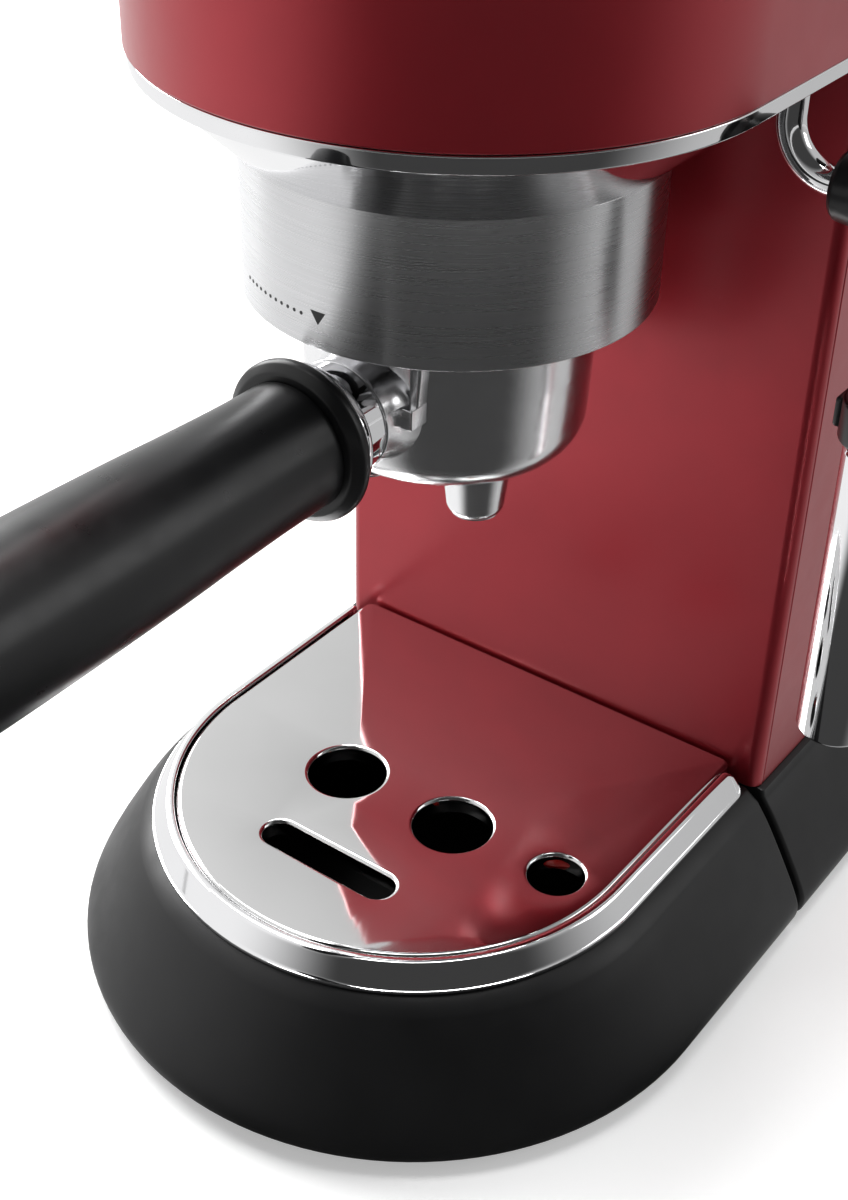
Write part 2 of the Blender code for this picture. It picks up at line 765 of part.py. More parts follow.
def handle():
    """The handle's pieces along -Y: chrome neck with its stud, black flange, grip and end cap."""
    at = PIVOTS["portafilter_pivot"]
    turned = (90, 0, 0)
    neck = [
        (0.0, 0.0610),
        (0.0040, 0.0610),
        (0.0040, 0.0425),
        (0.0134, 0.0425),
        (0.0136, 0.0412),
        (0.0128, 0.0405),
        (0.0108, 0.0402),
        (NECK_RADIUS, 0.0338),
        (0.0, 0.0338),
    ]
    turned_piece("handle_neck", neck, "chrome", at, "portafilter_pivot", turned, steps=20)
    flange = [
        (0.0132, 0.0473),
        (0.0150, 0.0465),
        (0.0155, 0.0448),
        (0.0150, 0.0435),
        (0.0138, 0.0428),
        (0.0044, 0.0428),
        (0.0044, 0.0473),
    ]
    turned_piece(
        "handle_flange", flange, "black_plastic", at, "portafilter_pivot", turned, ring=True, steps=20
    )
    end = -GRIP_END
    grip = [
        (0.0, end),
        (0.0080, end),
        (0.0137, end - 0.0020),
        (0.0142, end - 0.0060),
        (0.0141, 0.1250),
        (0.0132, 0.0800),
        (0.0124, 0.0503),
        (0.0122, 0.0476),
        (0.0044, 0.0476),
        (0.0044, 0.0620),
        (0.0, 0.0620),
    ]
    turned_piece("handle_grip", grip, "black_plastic", at, "portafilter_pivot", turned, steps=20)
    cap = [(0.0, end + 0.0030), (0.0070, end + 0.0024), (0.0090, end + GAP), (0.0, end + GAP)]
    turned_piece("handle_cap", cap, "chrome", at, "portafilter_pivot", turned, steps=20)


# ---- steam side ---------------------------------------------------------------------------
def steam_tube():
    """The chrome tube: down out of the head, then bent level towards the swivel."""
    bend = arc(TUBE_X + TUBE_BEND, SWIVEL_Z + TUBE_BEND, TUBE_BEND, 180, 270, 8)
    points = [(TUBE_X, WAND_Y, 0.2200), *[(x, WAND_Y, z) for x, z in bend], (0.0710, WAND_Y, SWIVEL_Z)]
    return tube("steam_tube", points, TUBE_RADIUS, "chrome", resolution=4)


def steam_joint():
    """The black swivel: a collar round the tube's level end, a ball and a neck down to the grip."""
    collar = [
        (0.0, 0.0220),
        (0.0070, 0.0200),
        (0.0090, 0.0150),
        (0.0090, 0.0110),
        (0.0068, 0.0060),
        (0.0064, 0.0010),
        (0.0058, 0.0003),
        (TUBE_RADIUS + 0.0004, 0.0003),
        (TUBE_RADIUS + 0.0004, 0.0080),
        (0.0, 0.0080),
    ]
    at = PIVOTS["wand_pivot"]
    joint = turned_piece("steam_joint", collar, "black_plastic", at, "wand_pivot", (0, 90, 0), steps=20)
    join(joint, round_mesh(0.0060, 0.0200, steps=20), (SLEEVE_X, WAND_Y, 0.1762), "wand_pivot")
    return joint


def wand_piece(name, profile, colour_name, ring=False, holder="wand_pivot", steps=20):
    return turned_piece(name, profile, colour_name, (SLEEVE_X, WAND_Y, 0.0), holder, ring=ring, steps=steps)


def steam_wand():
    grip = [
        (0.0, 0.1659),
        (0.0072, 0.1659),
        (0.0084, 0.1640),
        (0.0084, 0.1560),
        (0.0070, 0.1552),
        (0.0070, 0.1412),
        (0.0, 0.1412),
    ]
    wand_piece("steam_grip", grip, "black_plastic")
    slider = [(0.0088, 0.1500), (0.0088, 0.1420), (0.0073, 0.1420), (0.0073, 0.1500)]
    selector = wand_piece("frother_selector", slider, "black_plastic", ring=True, holder="selector_slide")
    tab_at = (SLEEVE_X - 0.0088, WAND_Y, 0.1460)
    join(selector, block_mesh((0.0020, 0.0060, 0.0060)), tab_at, "selector_slide")
    top, bottom, radius = SLEEVE_TOP, SLEEVE_BOTTOM, SLEEVE_RADIUS
    sleeve = [
        (radius - 0.0006, top),
        (radius, top - 0.0008),
        (radius, bottom + 0.0006),
        (radius - 0.0006, bottom),
        (0.0052, bottom),
        (0.0052, top),
    ]
    wand_piece("steam_sleeve", sleeve, "chrome", ring=True)
    nozzle = [(0.0, 0.1408), (0.0048, 0.1408), (0.0048, 0.0830), (0.0030, 0.0800), (0.0, 0.0800)]
    wand_piece("steam_nozzle", nozzle, "brushed_steel", steps=16)


def steam_controls():
    """The knob on the head's side, its shaft and the valve that the shaft turns."""
    turned = (0, 90, 0)
    at = PIVOTS["steam_knob_pivot"]
    radius = KNOB_RADIUS
    knob = [
        (0.0, 0.0200),
        (radius - 0.0030, 0.0200),
        (radius - 0.0014, 0.0186),
        (radius, 0.0030),
        (radius - 0.0004, 0.0012),
        (0.0034, 0.0012),
        (0.0034, 0.0120),
        (0.0, 0.0120),
    ]
    dial = turned_piece("steam_knob", knob, "black_plastic", at, "steam_knob_pivot", turned)
    pointer_at = (HEAD_RADIUS + 0.0202, KNOB_Y, KNOB_Z + 0.0085)
    join(dial, block_mesh((0.0010, 0.0024, 0.0120)), pointer_at, "steam_knob_pivot")
    shaft = [(0.0, 0.0116), (0.0031, 0.0116), (0.0031, -0.0190), (0.0, -0.0190)]
    turned_piece("knob_shaft", shaft, "brass", at, "steam_knob_pivot", turned, steps=16)
    valve = [
        (0.0, -0.0194),
        (0.0036, -0.0194),
        (0.0036, -0.0100),
        (0.0070, -0.0100),
        (0.0070, -0.0240),
        (0.0, -0.0240),
    ]
    housing = turned_piece("steam_valve", valve, "brass", at, turned=turned, steps=16)
    join(housing, block_mesh((0.0102, 0.0160, 0.0200)), (0.0344, KNOB_Y, KNOB_Z))
    return housing


# ---- top ----------------------------------------------------------------------------------
def top_cover():
    """The black top: a tray for the cup-warmer plate and three round button holes in front."""
    outer = round_front(HEAD_RADIUS - 0.0002, HEAD_CENTRE_Y, COVER_BACK)
    buttons = [
        circle(PIVOTS[name][0], PIVOTS[name][1], 0.0083, 24)
        for name in ("button_one_slide", "button_two_slide", "button_steam_slide")
    ]
    cover = piece("top_cover", flat_mesh([outer, *buttons], HEAD_TOP + GAP, 0.3015), "gloss_black")
    soften(cover, 0.0010, segments=1, angle_deg=60)
    pocket = rounded_box(0.0, 0.0920, 0.0520, 0.0860, 0.0080)
    cut(cover, flat_mesh([pocket], 0.2995, 0.3100))
    return cover


def cup_plate():
    outline = rounded_box(0.0, 0.0920, 0.0517, 0.0857, 0.0077)
    ridge_holes = [capsule(0.0, 0.0300 + 0.0180 * row, 0.0360, 0.0020, 4) for row in range(8)]
    plate = piece("cup_plate", flat_mesh([outline, *ridge_holes], 0.2998, MACHINE_TOP), "brushed_steel")
    return plate


def buttons():
    for name in ("button_one", "button_two", "button_steam"):
        x, y, z = PIVOTS[name + "_slide"]
        profile = [
            (0.0, 0.0058),
            (0.0070, 0.0058),
            (0.0079, 0.0052),
            (0.0079, -0.0016),
            (0.0092, -0.0016),
            (0.0092, -0.0030),
            (0.0, -0.0030),
        ]
        turned_piece(name, profile, "gloss_black", (x, y, z), name + "_slide", steps=20)
    outline = rounded_box(0.0, -0.0250, 0.0400, 0.0120, 0.0020, 2)
    board = flat_mesh([outline], HEAD_TOP - 0.0070, HEAD_TOP - 0.0054)
    piece("button_board", board, "board_green")


# ---- inside -------------------------------------------------------------------------------
def inner_frame():
    """The pressed frame: a back wall on the base's deck, and a shelf that carries the group head."""
    wall = piece("inner_frame", block_mesh((0.110, 0.0020, 0.2590)), "aluminium", (0.0, 0.1840, 0.1642))
    shelf_outline = round_front(0.0550, HEAD_CENTRE_Y, 0.1840)
    shelf = flat_mesh([shelf_outline, circle(0.0, 0.0, 0.0154, 24)], 0.2060, 0.2080)
    join(wall, shelf)
    cut(wall, round_mesh(TUBE_RADIUS + 0.0006, 0.030, steps=SMALL_STEPS), (TUBE_X, WAND_Y, 0.2070))
    cut(wall, round_mesh(0.0046, 0.010, steps=16), (0.0, PUMP_Y, 0.2070))
    return wall


def thermoblock():
    """The heated block over the group head, with its over-temperature cut-out on top."""
    body = piece("thermoblock", block_mesh((0.0700, 0.0800, 0.0420)), "aluminium", (-0.0060, 0.0150, 0.2355))
    soften(body, 0.0050)
    cutout = round_mesh(0.0080, 0.0070, steps=16)
    piece("thermal_cutout", cutout, "black_plastic", (-0.0060, 0.0300, 0.2565 + GAP + 0.0035))


def pump():
    """The vibration pump stands in the column between two rubber mounts."""
    at = (0.0, PUMP_Y, 0.0)
    turned_piece(
        "vibration_pump",
        [
            (0.0, 0.1500),
            (0.0050, 0.1500),
            (0.0050, 0.1340),
            (0.0150, 0.1340),
            (0.0150, 0.1240),
            (0.0210, 0.1240),
            (0.0210, 0.0720),
            (0.0130, 0.0720),
            (0.0130, 0.0560),
            (0.0050, 0.0560),
            (0.0050, 0.0480),
            (0.0, 0.0480),
        ],
        "black_plastic",
        at,
        steps=20,
    )
    lower = [(0.0200, 0.0717), (0.0200, 0.0345), (0.0133, 0.0345), (0.0133, 0.0717)]
    turned_piece("pump_mount_lower", lower, "rubber", at, ring=True, steps=20)
    upper = [(0.0200, 0.1340), (0.0200, 0.1243), (0.0153, 0.1243), (0.0153, 0.1340)]
    turned_piece("pump_mount_upper", upper, "rubber", at, ring=True, steps=20)


def hoses():
    """Tank seat to pump, pump to thermoblock, and steam valve to steam tube."""
    inlet = [
        (0.0, TANK_SEAT_Y, 0.0286),
        (0.0, TANK_SEAT_Y - 0.0060, 0.0190),
        (0.0, TANK_SEAT_Y - 0.0300, 0.0150),
        (0.0, PUMP_Y + 0.0300, 0.0150),
        (0.0, PUMP_Y + 0.0060, 0.0200),
        (0.0, PUMP_Y, 0.0330),
        (0.0, PUMP_Y, 0.0477),
    ]
    tube("inlet_hose", smooth_route(inlet, 3), 0.0035, "silicone")
    pressure = [
        (0.0, PUMP_Y, 0.1503),
        (0.0, PUMP_Y, 0.1750),
        (0.0, PUMP_Y, 0.2100),
        (-0.0010, 0.0880, 0.2290),
        (-0.0060, 0.0700, 0.2365),
        (-0.0060, 0.0553, 0.2370),
    ]
    tube("pressure_hose", smooth_route(pressure, 3), 0.0030, "silicone")
    steam = [
        (0.0360, 0.0360, 0.2417),
        (0.0370, 0.0350, 0.2370),
        (0.0450, 0.0300, 0.2310),
        (TUBE_X - 0.0010, WAND_Y + 0.0004, 0.2270),
        (TUBE_X, WAND_Y, 0.2203),
    ]
    tube("steam_pipe", smooth_route(steam, 3), 0.0022, "chrome")


def electrics():
    """The control board inside the column, the rocker switch and the mains lead's gland."""
    piece("control_board", block_mesh((0.0016, 0.0800, 0.1100)), "board_green", (-0.0520, 0.1150, 0.1400))
    pivot = PIVOTS["switch_pivot"]
    rocker = piece("power_switch", block_mesh((0.0196, 0.0060, 0.0114)), "gloss_black", pivot, "switch_pivot",
                   turned=(-8, 0, 0))
    soften(rocker, 0.0008, segments=1)
    gland = [
        (0.0, 0.0035),
        (0.0032, 0.0035),
        (0.0032, 0.0125),
        (0.0050, 0.0125),
        (0.0058, 0.0115),
        (0.0058, 0.0),
        (0.0078, -0.0010),
        (0.0078, -0.0040),
        (0.0, -0.0040),
    ]
    upended = [(radius, -height) for radius, height in reversed(gland)]
    turned_piece("cord_gland", upended, "rubber", (-0.0300, 0.2345, 0.0165), turned=(90, 0, 0), steps=16)


# ---- water tank ---------------------------------------------------------------------------
def tank_outline(inset):
    half_width = HEAD_RADIUS - 0.0002 - inset
    return round_back(half_width, TANK_FRONT + inset, TANK_BACK - inset, TANK_CORNER - inset)


def water_tank():
    outer = tank_outline(0.0)
    inner = tank_outline(TANK_WALL)
    rings = [(inner, TANK_BOTTOM + TANK_WALL), (inner, TANK_TOP), (outer, TANK_TOP), (outer, TANK_BOTTOM)]
    tank = piece("water_tank", loft_mesh(rings), "smoke_plastic", holder="tank_slide", smooth=True)
    cut(tank, round_mesh(0.0061, 0.010, steps=SMALL_STEPS), (0.0, TANK_SEAT_Y, TANK_BOTTOM), "tank_slide")
    at = (0.0, TANK_SEAT_Y, 0.0)
    valve = [
        (0.0, 0.0460),
        (0.0040, 0.0460),
        (0.0040, 0.0400),
        (0.0080, 0.0400),
        (0.0080, 0.0378),
        (0.0057, 0.0378),
        (0.0057, 0.0353),
        (0.0, 0.0353),
    ]
    turned_piece("tank_valve", valve, "black_plastic", at, "tank_slide", steps=16)
    seat = [
        (0.0100, 0.0348),
        (0.0100, 0.0345),
        (0.0071, 0.0345),
        (0.0071, 0.0290),
        (0.0040, 0.0290),
        (0.0040, 0.0348),
    ]
    turned_piece("tank_seat", seat, "rubber", at, ring=True, steps=16)
    lid_outline = tank_outline(0.0003)
    plate = flat_mesh([lid_outline], TANK_TOP + 0.0006, LID_TOP)
    lid = piece("tank_lid", plate, "gloss_black", holder="lid_pivot")
    soften(lid, 0.0008, segments=1, angle_deg=60)


# ---- assembly -----------------------------------------------------------------------------
def build():
    base_chassis()
    bottom_plate()
    feet()
    drip_tray()
    tray_rim()
    cup_grille()
    float_indicator()
    inner_frame()
    head_cover()
    column_panel()
    trim_ring()
    head_underside()
    group_skirt()
    group_body()
    bayonet_ring()
    gasket_and_screen()
    portafilter_body()
    filter_basket()
    spouts()
    handle()
    steam_tube()
    steam_joint()
    steam_wand()
    steam_controls()
    top_cover()
    cup_plate()
    buttons()
    thermoblock()
    pump()
    hoses()
    electrics()
    water_tank()


clear_scene()
PARTS = new_collection("espresso_machine")
CUTTERS = new_collection("cutters")
EMPTIES = {"group_axis": new_empty("group_axis", (GROUP_X, GROUP_Y, 0.0))}
for pivot_name, pivot_place in PIVOTS.items():
    EMPTIES[pivot_name] = new_empty(pivot_name, pivot_place, EMPTIES["group_axis"])
build()
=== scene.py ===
"""Espresso machine: finished surfaces, materials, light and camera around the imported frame.

Lengths are millimetres in the group frame: X to the right, Y to the back and Z up, with the origin on
the worktop under the centre of the brew group. piece() turns them into the frame's metres.
"""

import json
import math

import bmesh
import bpy
from mathutils import Matrix, Vector

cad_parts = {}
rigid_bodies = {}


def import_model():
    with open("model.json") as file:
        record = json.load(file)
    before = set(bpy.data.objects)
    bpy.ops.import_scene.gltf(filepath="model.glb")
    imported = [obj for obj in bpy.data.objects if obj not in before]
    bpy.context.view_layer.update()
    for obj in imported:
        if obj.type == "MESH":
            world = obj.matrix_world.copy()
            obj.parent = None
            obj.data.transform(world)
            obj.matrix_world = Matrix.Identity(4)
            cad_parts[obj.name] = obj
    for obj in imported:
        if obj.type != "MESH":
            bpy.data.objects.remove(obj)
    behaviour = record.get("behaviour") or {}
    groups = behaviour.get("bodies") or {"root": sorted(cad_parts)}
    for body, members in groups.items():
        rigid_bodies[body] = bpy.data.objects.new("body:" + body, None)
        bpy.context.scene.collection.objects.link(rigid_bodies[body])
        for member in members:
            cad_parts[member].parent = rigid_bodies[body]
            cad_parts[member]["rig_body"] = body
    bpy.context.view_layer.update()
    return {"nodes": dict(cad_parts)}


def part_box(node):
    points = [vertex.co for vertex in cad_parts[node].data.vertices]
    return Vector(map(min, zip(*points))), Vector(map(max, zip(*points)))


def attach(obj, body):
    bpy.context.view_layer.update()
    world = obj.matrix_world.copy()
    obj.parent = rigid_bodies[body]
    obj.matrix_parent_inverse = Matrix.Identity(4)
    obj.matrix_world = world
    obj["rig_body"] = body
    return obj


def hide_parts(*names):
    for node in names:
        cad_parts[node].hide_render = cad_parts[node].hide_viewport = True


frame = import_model()

MM = 0.001

TURN = 144          # segments round a large turned piece
SMALL_TURN = 64     # segments round a small turned piece
QUARTER = 16        # segments of a quarter circle in an outline
ROUND = 6           # segments of a rounded edge
GAP = 0.3           # gap between neighbouring sheets


# ---------------------------------------------------------------- places taken from the frame


def group_origin():
    """The worktop point under the centre of the brew group."""
    low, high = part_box("group_skirt")
    middle = (low + high) / 2
    return Vector((middle.x, middle.y, 0.0))


ORIGIN = group_origin()


def span(node):
    """Lowest and highest corner of a CAD node, in millimetres of the group frame."""
    low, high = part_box(node)
    return (low - ORIGIN) / MM, (high - ORIGIN) / MM


def middle(node):
    """Centre of a CAD node's box."""
    low, high = span(node)
    return (low + high) / 2


def to_world(point):
    """A point of the group frame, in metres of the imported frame."""
    return ORIGIN + Vector(point) * MM


# ---------------------------------------------------------------- outlines and profiles


def arc(u, v, radius, start, end, steps):
    """Points of an arc about (u, v), with its angles in degrees."""
    angles = [math.radians(start + (end - start) * i / steps) for i in range(steps + 1)]
    return [(u + radius * math.cos(a), v + radius * math.sin(a)) for a in angles]


def fillet(corners, closed=True, steps=ROUND):
    """A polyline through (u, v, radius) corners, each rounded by its radius."""
    points = []
    count = len(corners)
    for i, (u, v, radius) in enumerate(corners):
        here = Vector((u, v))
        if radius <= 0 or (not closed and i in (0, count - 1)):
            points.append((u, v))
            continue
        to_last = (Vector(corners[i - 1][:2]) - here).normalized()
        to_next = (Vector(corners[(i + 1) % count][:2]) - here).normalized()
        half = to_last.angle(to_next) / 2
        centre = here + (to_last + to_next).normalized() * (radius / math.sin(half))
        first = here + to_last * (radius / math.tan(half)) - centre
        last = here + to_next * (radius / math.tan(half)) - centre
        turn = first.angle_signed(last)
        for k in range(steps + 1):
            spoke = first.copy()
            spoke.rotate(Matrix.Rotation(-turn * k / steps, 2))
            points.append(tuple(centre + spoke))
    return points


def smooth_line(points, steps=8):
    """A Catmull-Rom curve through two-dimensional points."""
    vectors = [Vector(p) for p in points]
    ends = [2 * vectors[0] - vectors[1]] + vectors + [2 * vectors[-1] - vectors[-2]]
    curve = []
    for a, b, c, d in zip(ends, ends[1:], ends[2:], ends[3:]):
        for k in range(steps):
            t = k / steps
            curve.append(0.5 * ((2 * b) + (c - a) * t + (2 * a - 5 * b + 4 * c - d) * t ** 2
                                + (3 * b - a - 3 * c + d) * t ** 3))
    return [tuple(p) for p in curve] + [tuple(points[-1])]


def outline_corner(x, y, radius, start, end, steps=QUARTER):
    """Stations (x, y, normal x, normal y) round one corner of an outline, angles in degrees."""
    stations = []
    for i in range(steps + 1):
        a = math.radians(start + (end - start) * i / steps)
        nx, ny = math.cos(a), math.sin(a)
        stations.append((x + radius * nx, y + radius * ny, nx, ny))
    return stations


def box_outline(x, y, half_x, half_y, corner, steps=ROUND):
    """A rectangle with rounded corners, anticlockwise from its right side."""
    inner_x, inner_y = half_x - corner, half_y - corner
    return (outline_corner(x + inner_x, y + inner_y, corner, 0, 90, steps)
            + outline_corner(x - inner_x, y + inner_y, corner, 90, 180, steps)
            + outline_corner(x - inner_x, y - inner_y, corner, 180, 270, steps)
            + outline_corner(x + inner_x, y - inner_y, corner, 270, 360, steps))


def front_outline(radius, centre_y, back, corner):
    """A half-round front, straight sides and a back with rounded corners."""
    side = radius - corner
    return (outline_corner(side, back - corner, corner, 0, 90, ROUND)
            + outline_corner(-side, back - corner, corner, 90, 180, ROUND)
            + outline_corner(0, centre_y, radius, 180, 360, 4 * QUARTER))


def u_path(radius, centre_y, back, seams=()):
    """The open path from the left back round the front to the right back, with a station at each seam."""
    steps = 4 * QUARTER
    sides = [back] + sorted(seams, reverse=True)
    return ([(-radius, y, -1.0, 0.0) for y in sides]
            + outline_corner(0, centre_y, radius, 180, 360, steps)
            + [(radius, y, 1.0, 0.0) for y in reversed(sides)])


def ring_at(stations, offset, z):
    """The outline's points moved out by offset, at height z."""
    return [(x + nx * offset, y + ny * offset, z) for x, y, nx, ny in stations]


# ---------------------------------------------------------------- meshes


def skin(bm, rings, wrap=True, loop=False, caps=True):
    """Joins rows of points with faces. A row of one point is a pole."""
    rows = [[bm.verts.new(p) for p in ring] for ring in rings]
    pairs = list(zip(rows, rows[1:]))
    if loop:
        pairs.append((rows[-1], rows[0]))
    for low, high in pairs:
        count = max(len(low), len(high))
        for i in range(count if wrap else count - 1):
            j = (i + 1) % count
            corners = (low[i % len(low)], low[j % len(low)], high[j % len(high)], high[i % len(high)])
            corners = list(dict.fromkeys(corners))
            if len(corners) > 2:
                bm.faces.new(corners)
    if caps and not loop:
        for row in (rows[0], rows[-1]):
            if len(row) > 2:
                bm.faces.new(row)
    return rows


def outward(bm):
    """Turns the faces outwards."""
    bmesh.ops.recalc_face_normals(bm, faces=bm.faces)
    return bm


def stacked(stations, profile, loop=False):
    """A solid from one outline, drawn at each (offset, height) of the profile."""
    bm = bmesh.new()
    skin(bm, [ring_at(stations, offset, z) for offset, z in profile], loop=loop)
    return outward(bm)


def slab(stations, low, high, edge, low_edge=None):
    """A plate of the outline's shape with rounded edges."""
    foot = edge if low_edge is None else low_edge
    profile = arc(-foot, low + foot, foot, -90, 0, ROUND) + arc(-edge, high - edge, edge, 0, 90, ROUND)
    return stacked(stations, profile)


def axis_point(axis, centre, radius, angle, height):
    """A point at radius and angle about an axis through centre, at height along it."""
    across, up = radius * math.cos(angle), radius * math.sin(angle)
    places = {"X": (height, across, up), "Y": (across, height, up), "Z": (across, up, height)}
    return tuple(Vector(places[axis]) + Vector(centre))


def turned(profile, axis="Z", centre=(0.0, 0.0, 0.0), steps=TURN):
    """A solid turned from (radius, height) points. Ends on the axis close it; others close on themselves."""
    rings = []
    for radius, height in profile:
        count = 1 if radius < 1e-6 else steps
        rings.append([axis_point(axis, centre, radius, math.tau * i / steps, height) for i in range(count)])
    bm = bmesh.new()
    skin(bm, rings, loop=len(rings[0]) > 1 and len(rings[-1]) > 1)
    return outward(bm)


def swept(path, section, ends=0):
    """A closed section of (offset, height) points carried along an open path, its ends drawn in."""
    bm = bmesh.new()
    middle_u = sum(u for u, v in section) / len(section)
    middle_v = sum(v for u, v in section) / len(section)
    rings = []

    def add(station, shrink, along):
        x, y, nx, ny = station
        points = [(middle_u + (u - middle_u) * shrink, middle_v + (v - middle_v) * shrink)
                  for u, v in section]
        rings.append([(x + nx * u, y + ny * u + along, v) for u, v in points])

    for k in range(ROUND if ends else 0):
        a = math.radians(90 * k / ROUND)
        add(path[0], max(math.sin(a), 0.05), ends * math.cos(a) - ends)
    for station in path:
        add(station, 1.0, -ends if station in (path[0], path[-1]) else 0.0)
    for k in reversed(range(ROUND if ends else 0)):
        a = math.radians(90 * k / ROUND)
        add(path[-1], max(math.sin(a), 0.05), ends * math.cos(a) - ends)
    skin(bm, rings)
    return outward(bm)


def joined(*meshes):
    """One mesh of several that touch or overlap."""
    whole = meshes[0]
    for bm in meshes[1:]:
        mesh = bpy.data.meshes.new("joined")
        bm.to_mesh(mesh)
        bm.free()
        whole.from_mesh(mesh)
        bpy.data.meshes.remove(mesh)
    return whole


def combined(bm, tool, operation):
    """The mesh after a Boolean with another one."""
    objects = []
    for part in (bm, tool):
        mesh = bpy.data.meshes.new("boolean")
        part.to_mesh(mesh)
        part.free()
        objects.append(bpy.data.objects.new("boolean", mesh))
        bpy.context.scene.collection.objects.link(objects[-1])
    body, other = objects
    modifier = body.modifiers.new("boolean", "BOOLEAN")
    modifier.object = other
    modifier.operation = operation
    modifier.solver = "EXACT"
    bpy.context.view_layer.update()
    evaluated = body.evaluated_get(bpy.context.evaluated_depsgraph_get())
    result = bmesh.new()
    result.from_mesh(evaluated.to_mesh())
    for obj in objects:
        mesh = obj.data
        bpy.data.objects.remove(obj)
        bpy.data.meshes.remove(mesh)
    bmesh.ops.dissolve_degenerate(result, dist=1e-4, edges=result.edges)
    return result


def cut(bm, tool):
    """The mesh with the tool's shape taken out."""
    return combined(bm, tool, "DIFFERENCE")


# ---------------------------------------------------------------- finishes


def noise_node(tree, spread, size, detail, stretch):
    """Noise in the piece's own coordinates. size is the grain in millimetres, stretched along each axis."""
    coordinates = tree.nodes.new("ShaderNodeTexCoord")
    mapping = tree.nodes.new("ShaderNodeMapping")
    mapping.inputs["Scale"].default_value = [1.0 / (MM * size * s) for s in stretch]
    texture = tree.nodes.new("ShaderNodeTexNoise")
    texture.inputs["Scale"].default_value = 1.0
    texture.inputs["Detail"].default_value = detail
    tree.links.new(coordinates.outputs["Object"], mapping.inputs["Vector"])
    tree.links.new(mapping.outputs["Vector"], texture.inputs["Vector"])
    level = tree.nodes.new("ShaderNodeMapRange")
    level.inputs["From Min"].default_value = 0.3
    level.inputs["From Max"].default_value = 0.7
    level.inputs["To Min"].default_value = spread[0]
    level.inputs["To Max"].default_value = spread[1]
    tree.links.new(texture.outputs["Fac"], level.inputs["Value"])
    return texture, level


def finish(name, slot, colour, roughness, mottle=(0.08, 40.0), wear=(0.04, 12.0), grain=(0.0, 1.0),
           stretch=(1.0, 1.0, 1.0), radial=False, **sockets):
    """A procedural material for one of the record's slots.

    mottle is how far the colour strays and over what distance, wear the same for the roughness, and
    grain the height and size of the surface's bumps. Sockets that are even over the surface are set
    directly.
    """
    material = bpy.data.materials.new(f"{name}_finish")
    material["slot"] = slot
    material.use_nodes = True
    tree = material.node_tree
    shader = tree.nodes["Principled BSDF"]

    strength, size = mottle
    texture, level = noise_node(tree, (0.0, 1.0), size, 3.0, stretch)
    mix = tree.nodes.new("ShaderNodeMix")
    mix.data_type = "RGBA"
    mix.inputs["A"].default_value = [c * (1 - strength) for c in colour] + [1.0]
    mix.inputs["B"].default_value = [min(1.0, c * (1 + strength)) for c in colour] + [1.0]
    tree.links.new(level.outputs["Result"], mix.inputs["Factor"])
    tree.links.new(mix.outputs["Result"], shader.inputs["Base Color"])

    strength, size = wear
    spread = (max(0.0, roughness - strength), min(1.0, roughness + strength))
    texture, level = noise_node(tree, spread, size, 4.0, stretch)
    tree.links.new(level.outputs["Result"], shader.inputs["Roughness"])

    height, size = grain
    if height > 0:
        texture, level = noise_node(tree, (0.0, 1.0), size, 2.0, stretch)
        bump = tree.nodes.new("ShaderNodeBump")
        bump.inputs["Strength"].default_value = 1.0
        bump.inputs["Distance"].default_value = height * MM
        tree.links.new(texture.outputs["Fac"], bump.inputs["Height"])
        tree.links.new(bump.outputs["Normal"], shader.inputs["Normal"])
    if radial:
        tangent = tree.nodes.new("ShaderNodeTangent")
        tangent.direction_type = "RADIAL"
        tangent.axis = "Z"
        tree.links.new(tangent.outputs["Tangent"], shader.inputs["Tangent"])
    for socket, value in sockets.items():
        shader.inputs[socket.replace("_", " ")].default_value = value
    return material


RED = finish("red_paint", "red_paint", (0.40, 0.016, 0.028), 0.42, mottle=(0.05, 30.0), wear=(0.03, 8.0),
             grain=(0.003, 0.5), Metallic=0.85, Coat_Weight=0.7, Coat_Roughness=0.26)
CHROME = finish("chrome", "chrome", (0.84, 0.84, 0.85), 0.05, mottle=(0.02, 25.0), wear=(0.02, 14.0),
                grain=(0.002, 9.0),
                Metallic=1.0)
# Painted shade: a darker copy of CHROME for the cup grille, standing in for the darker reflections the plate
# shows under the head.
SHADED_CHROME = finish("shaded_chrome", "chrome", (0.66, 0.66, 0.66), 0.05, mottle=(0.02, 25.0),
                     wear=(0.02, 14.0),
                     grain=(0.002, 9.0), Metallic=1.0)
STEEL = finish("brushed_steel", "brushed_steel", (0.66, 0.66, 0.67), 0.28, mottle=(0.03, 0.30),
               wear=(0.02, 0.5),
               grain=(0.0012, 0.20), stretch=(70.0, 70.0, 1.0), radial=True, Metallic=1.0, Anisotropic=0.93,
               Anisotropic_Rotation=0.25)
PLAIN_STEEL = finish("pressed_steel", "brushed_steel", (0.60, 0.60, 0.61), 0.24, mottle=(0.06, 10.0),
                     wear=(0.06, 3.0),
                     grain=(0.004, 2.0), Metallic=1.0)
CAST = finish("cast_metal", "cast_metal", (0.88, 0.88, 0.89), 0.20, mottle=(0.03, 20.0), wear=(0.03, 4.0),
              grain=(0.02, 3.5),
              Metallic=1.0)
SATIN_BLACK = finish("black_plastic", "black_plastic", (0.007, 0.007, 0.0075), 0.42, mottle=(0.15, 30.0),
                     wear=(0.05, 9.0),
                     grain=(0.008, 0.35), Specular_IOR_Level=0.36)
GRIP_BLACK = finish("grip_plastic", "black_plastic", (0.006, 0.006, 0.0065), 0.31, mottle=(0.15, 20.0),
                    wear=(0.04, 6.0),
                    grain=(0.006, 0.3), Specular_IOR_Level=0.36)
GLOSS_BLACK = finish("gloss_black", "gloss_black", (0.010, 0.010, 0.011), 0.14, mottle=(0.15, 20.0),
                     wear=(0.04, 10.0),
                     grain=(0.001, 2.0))
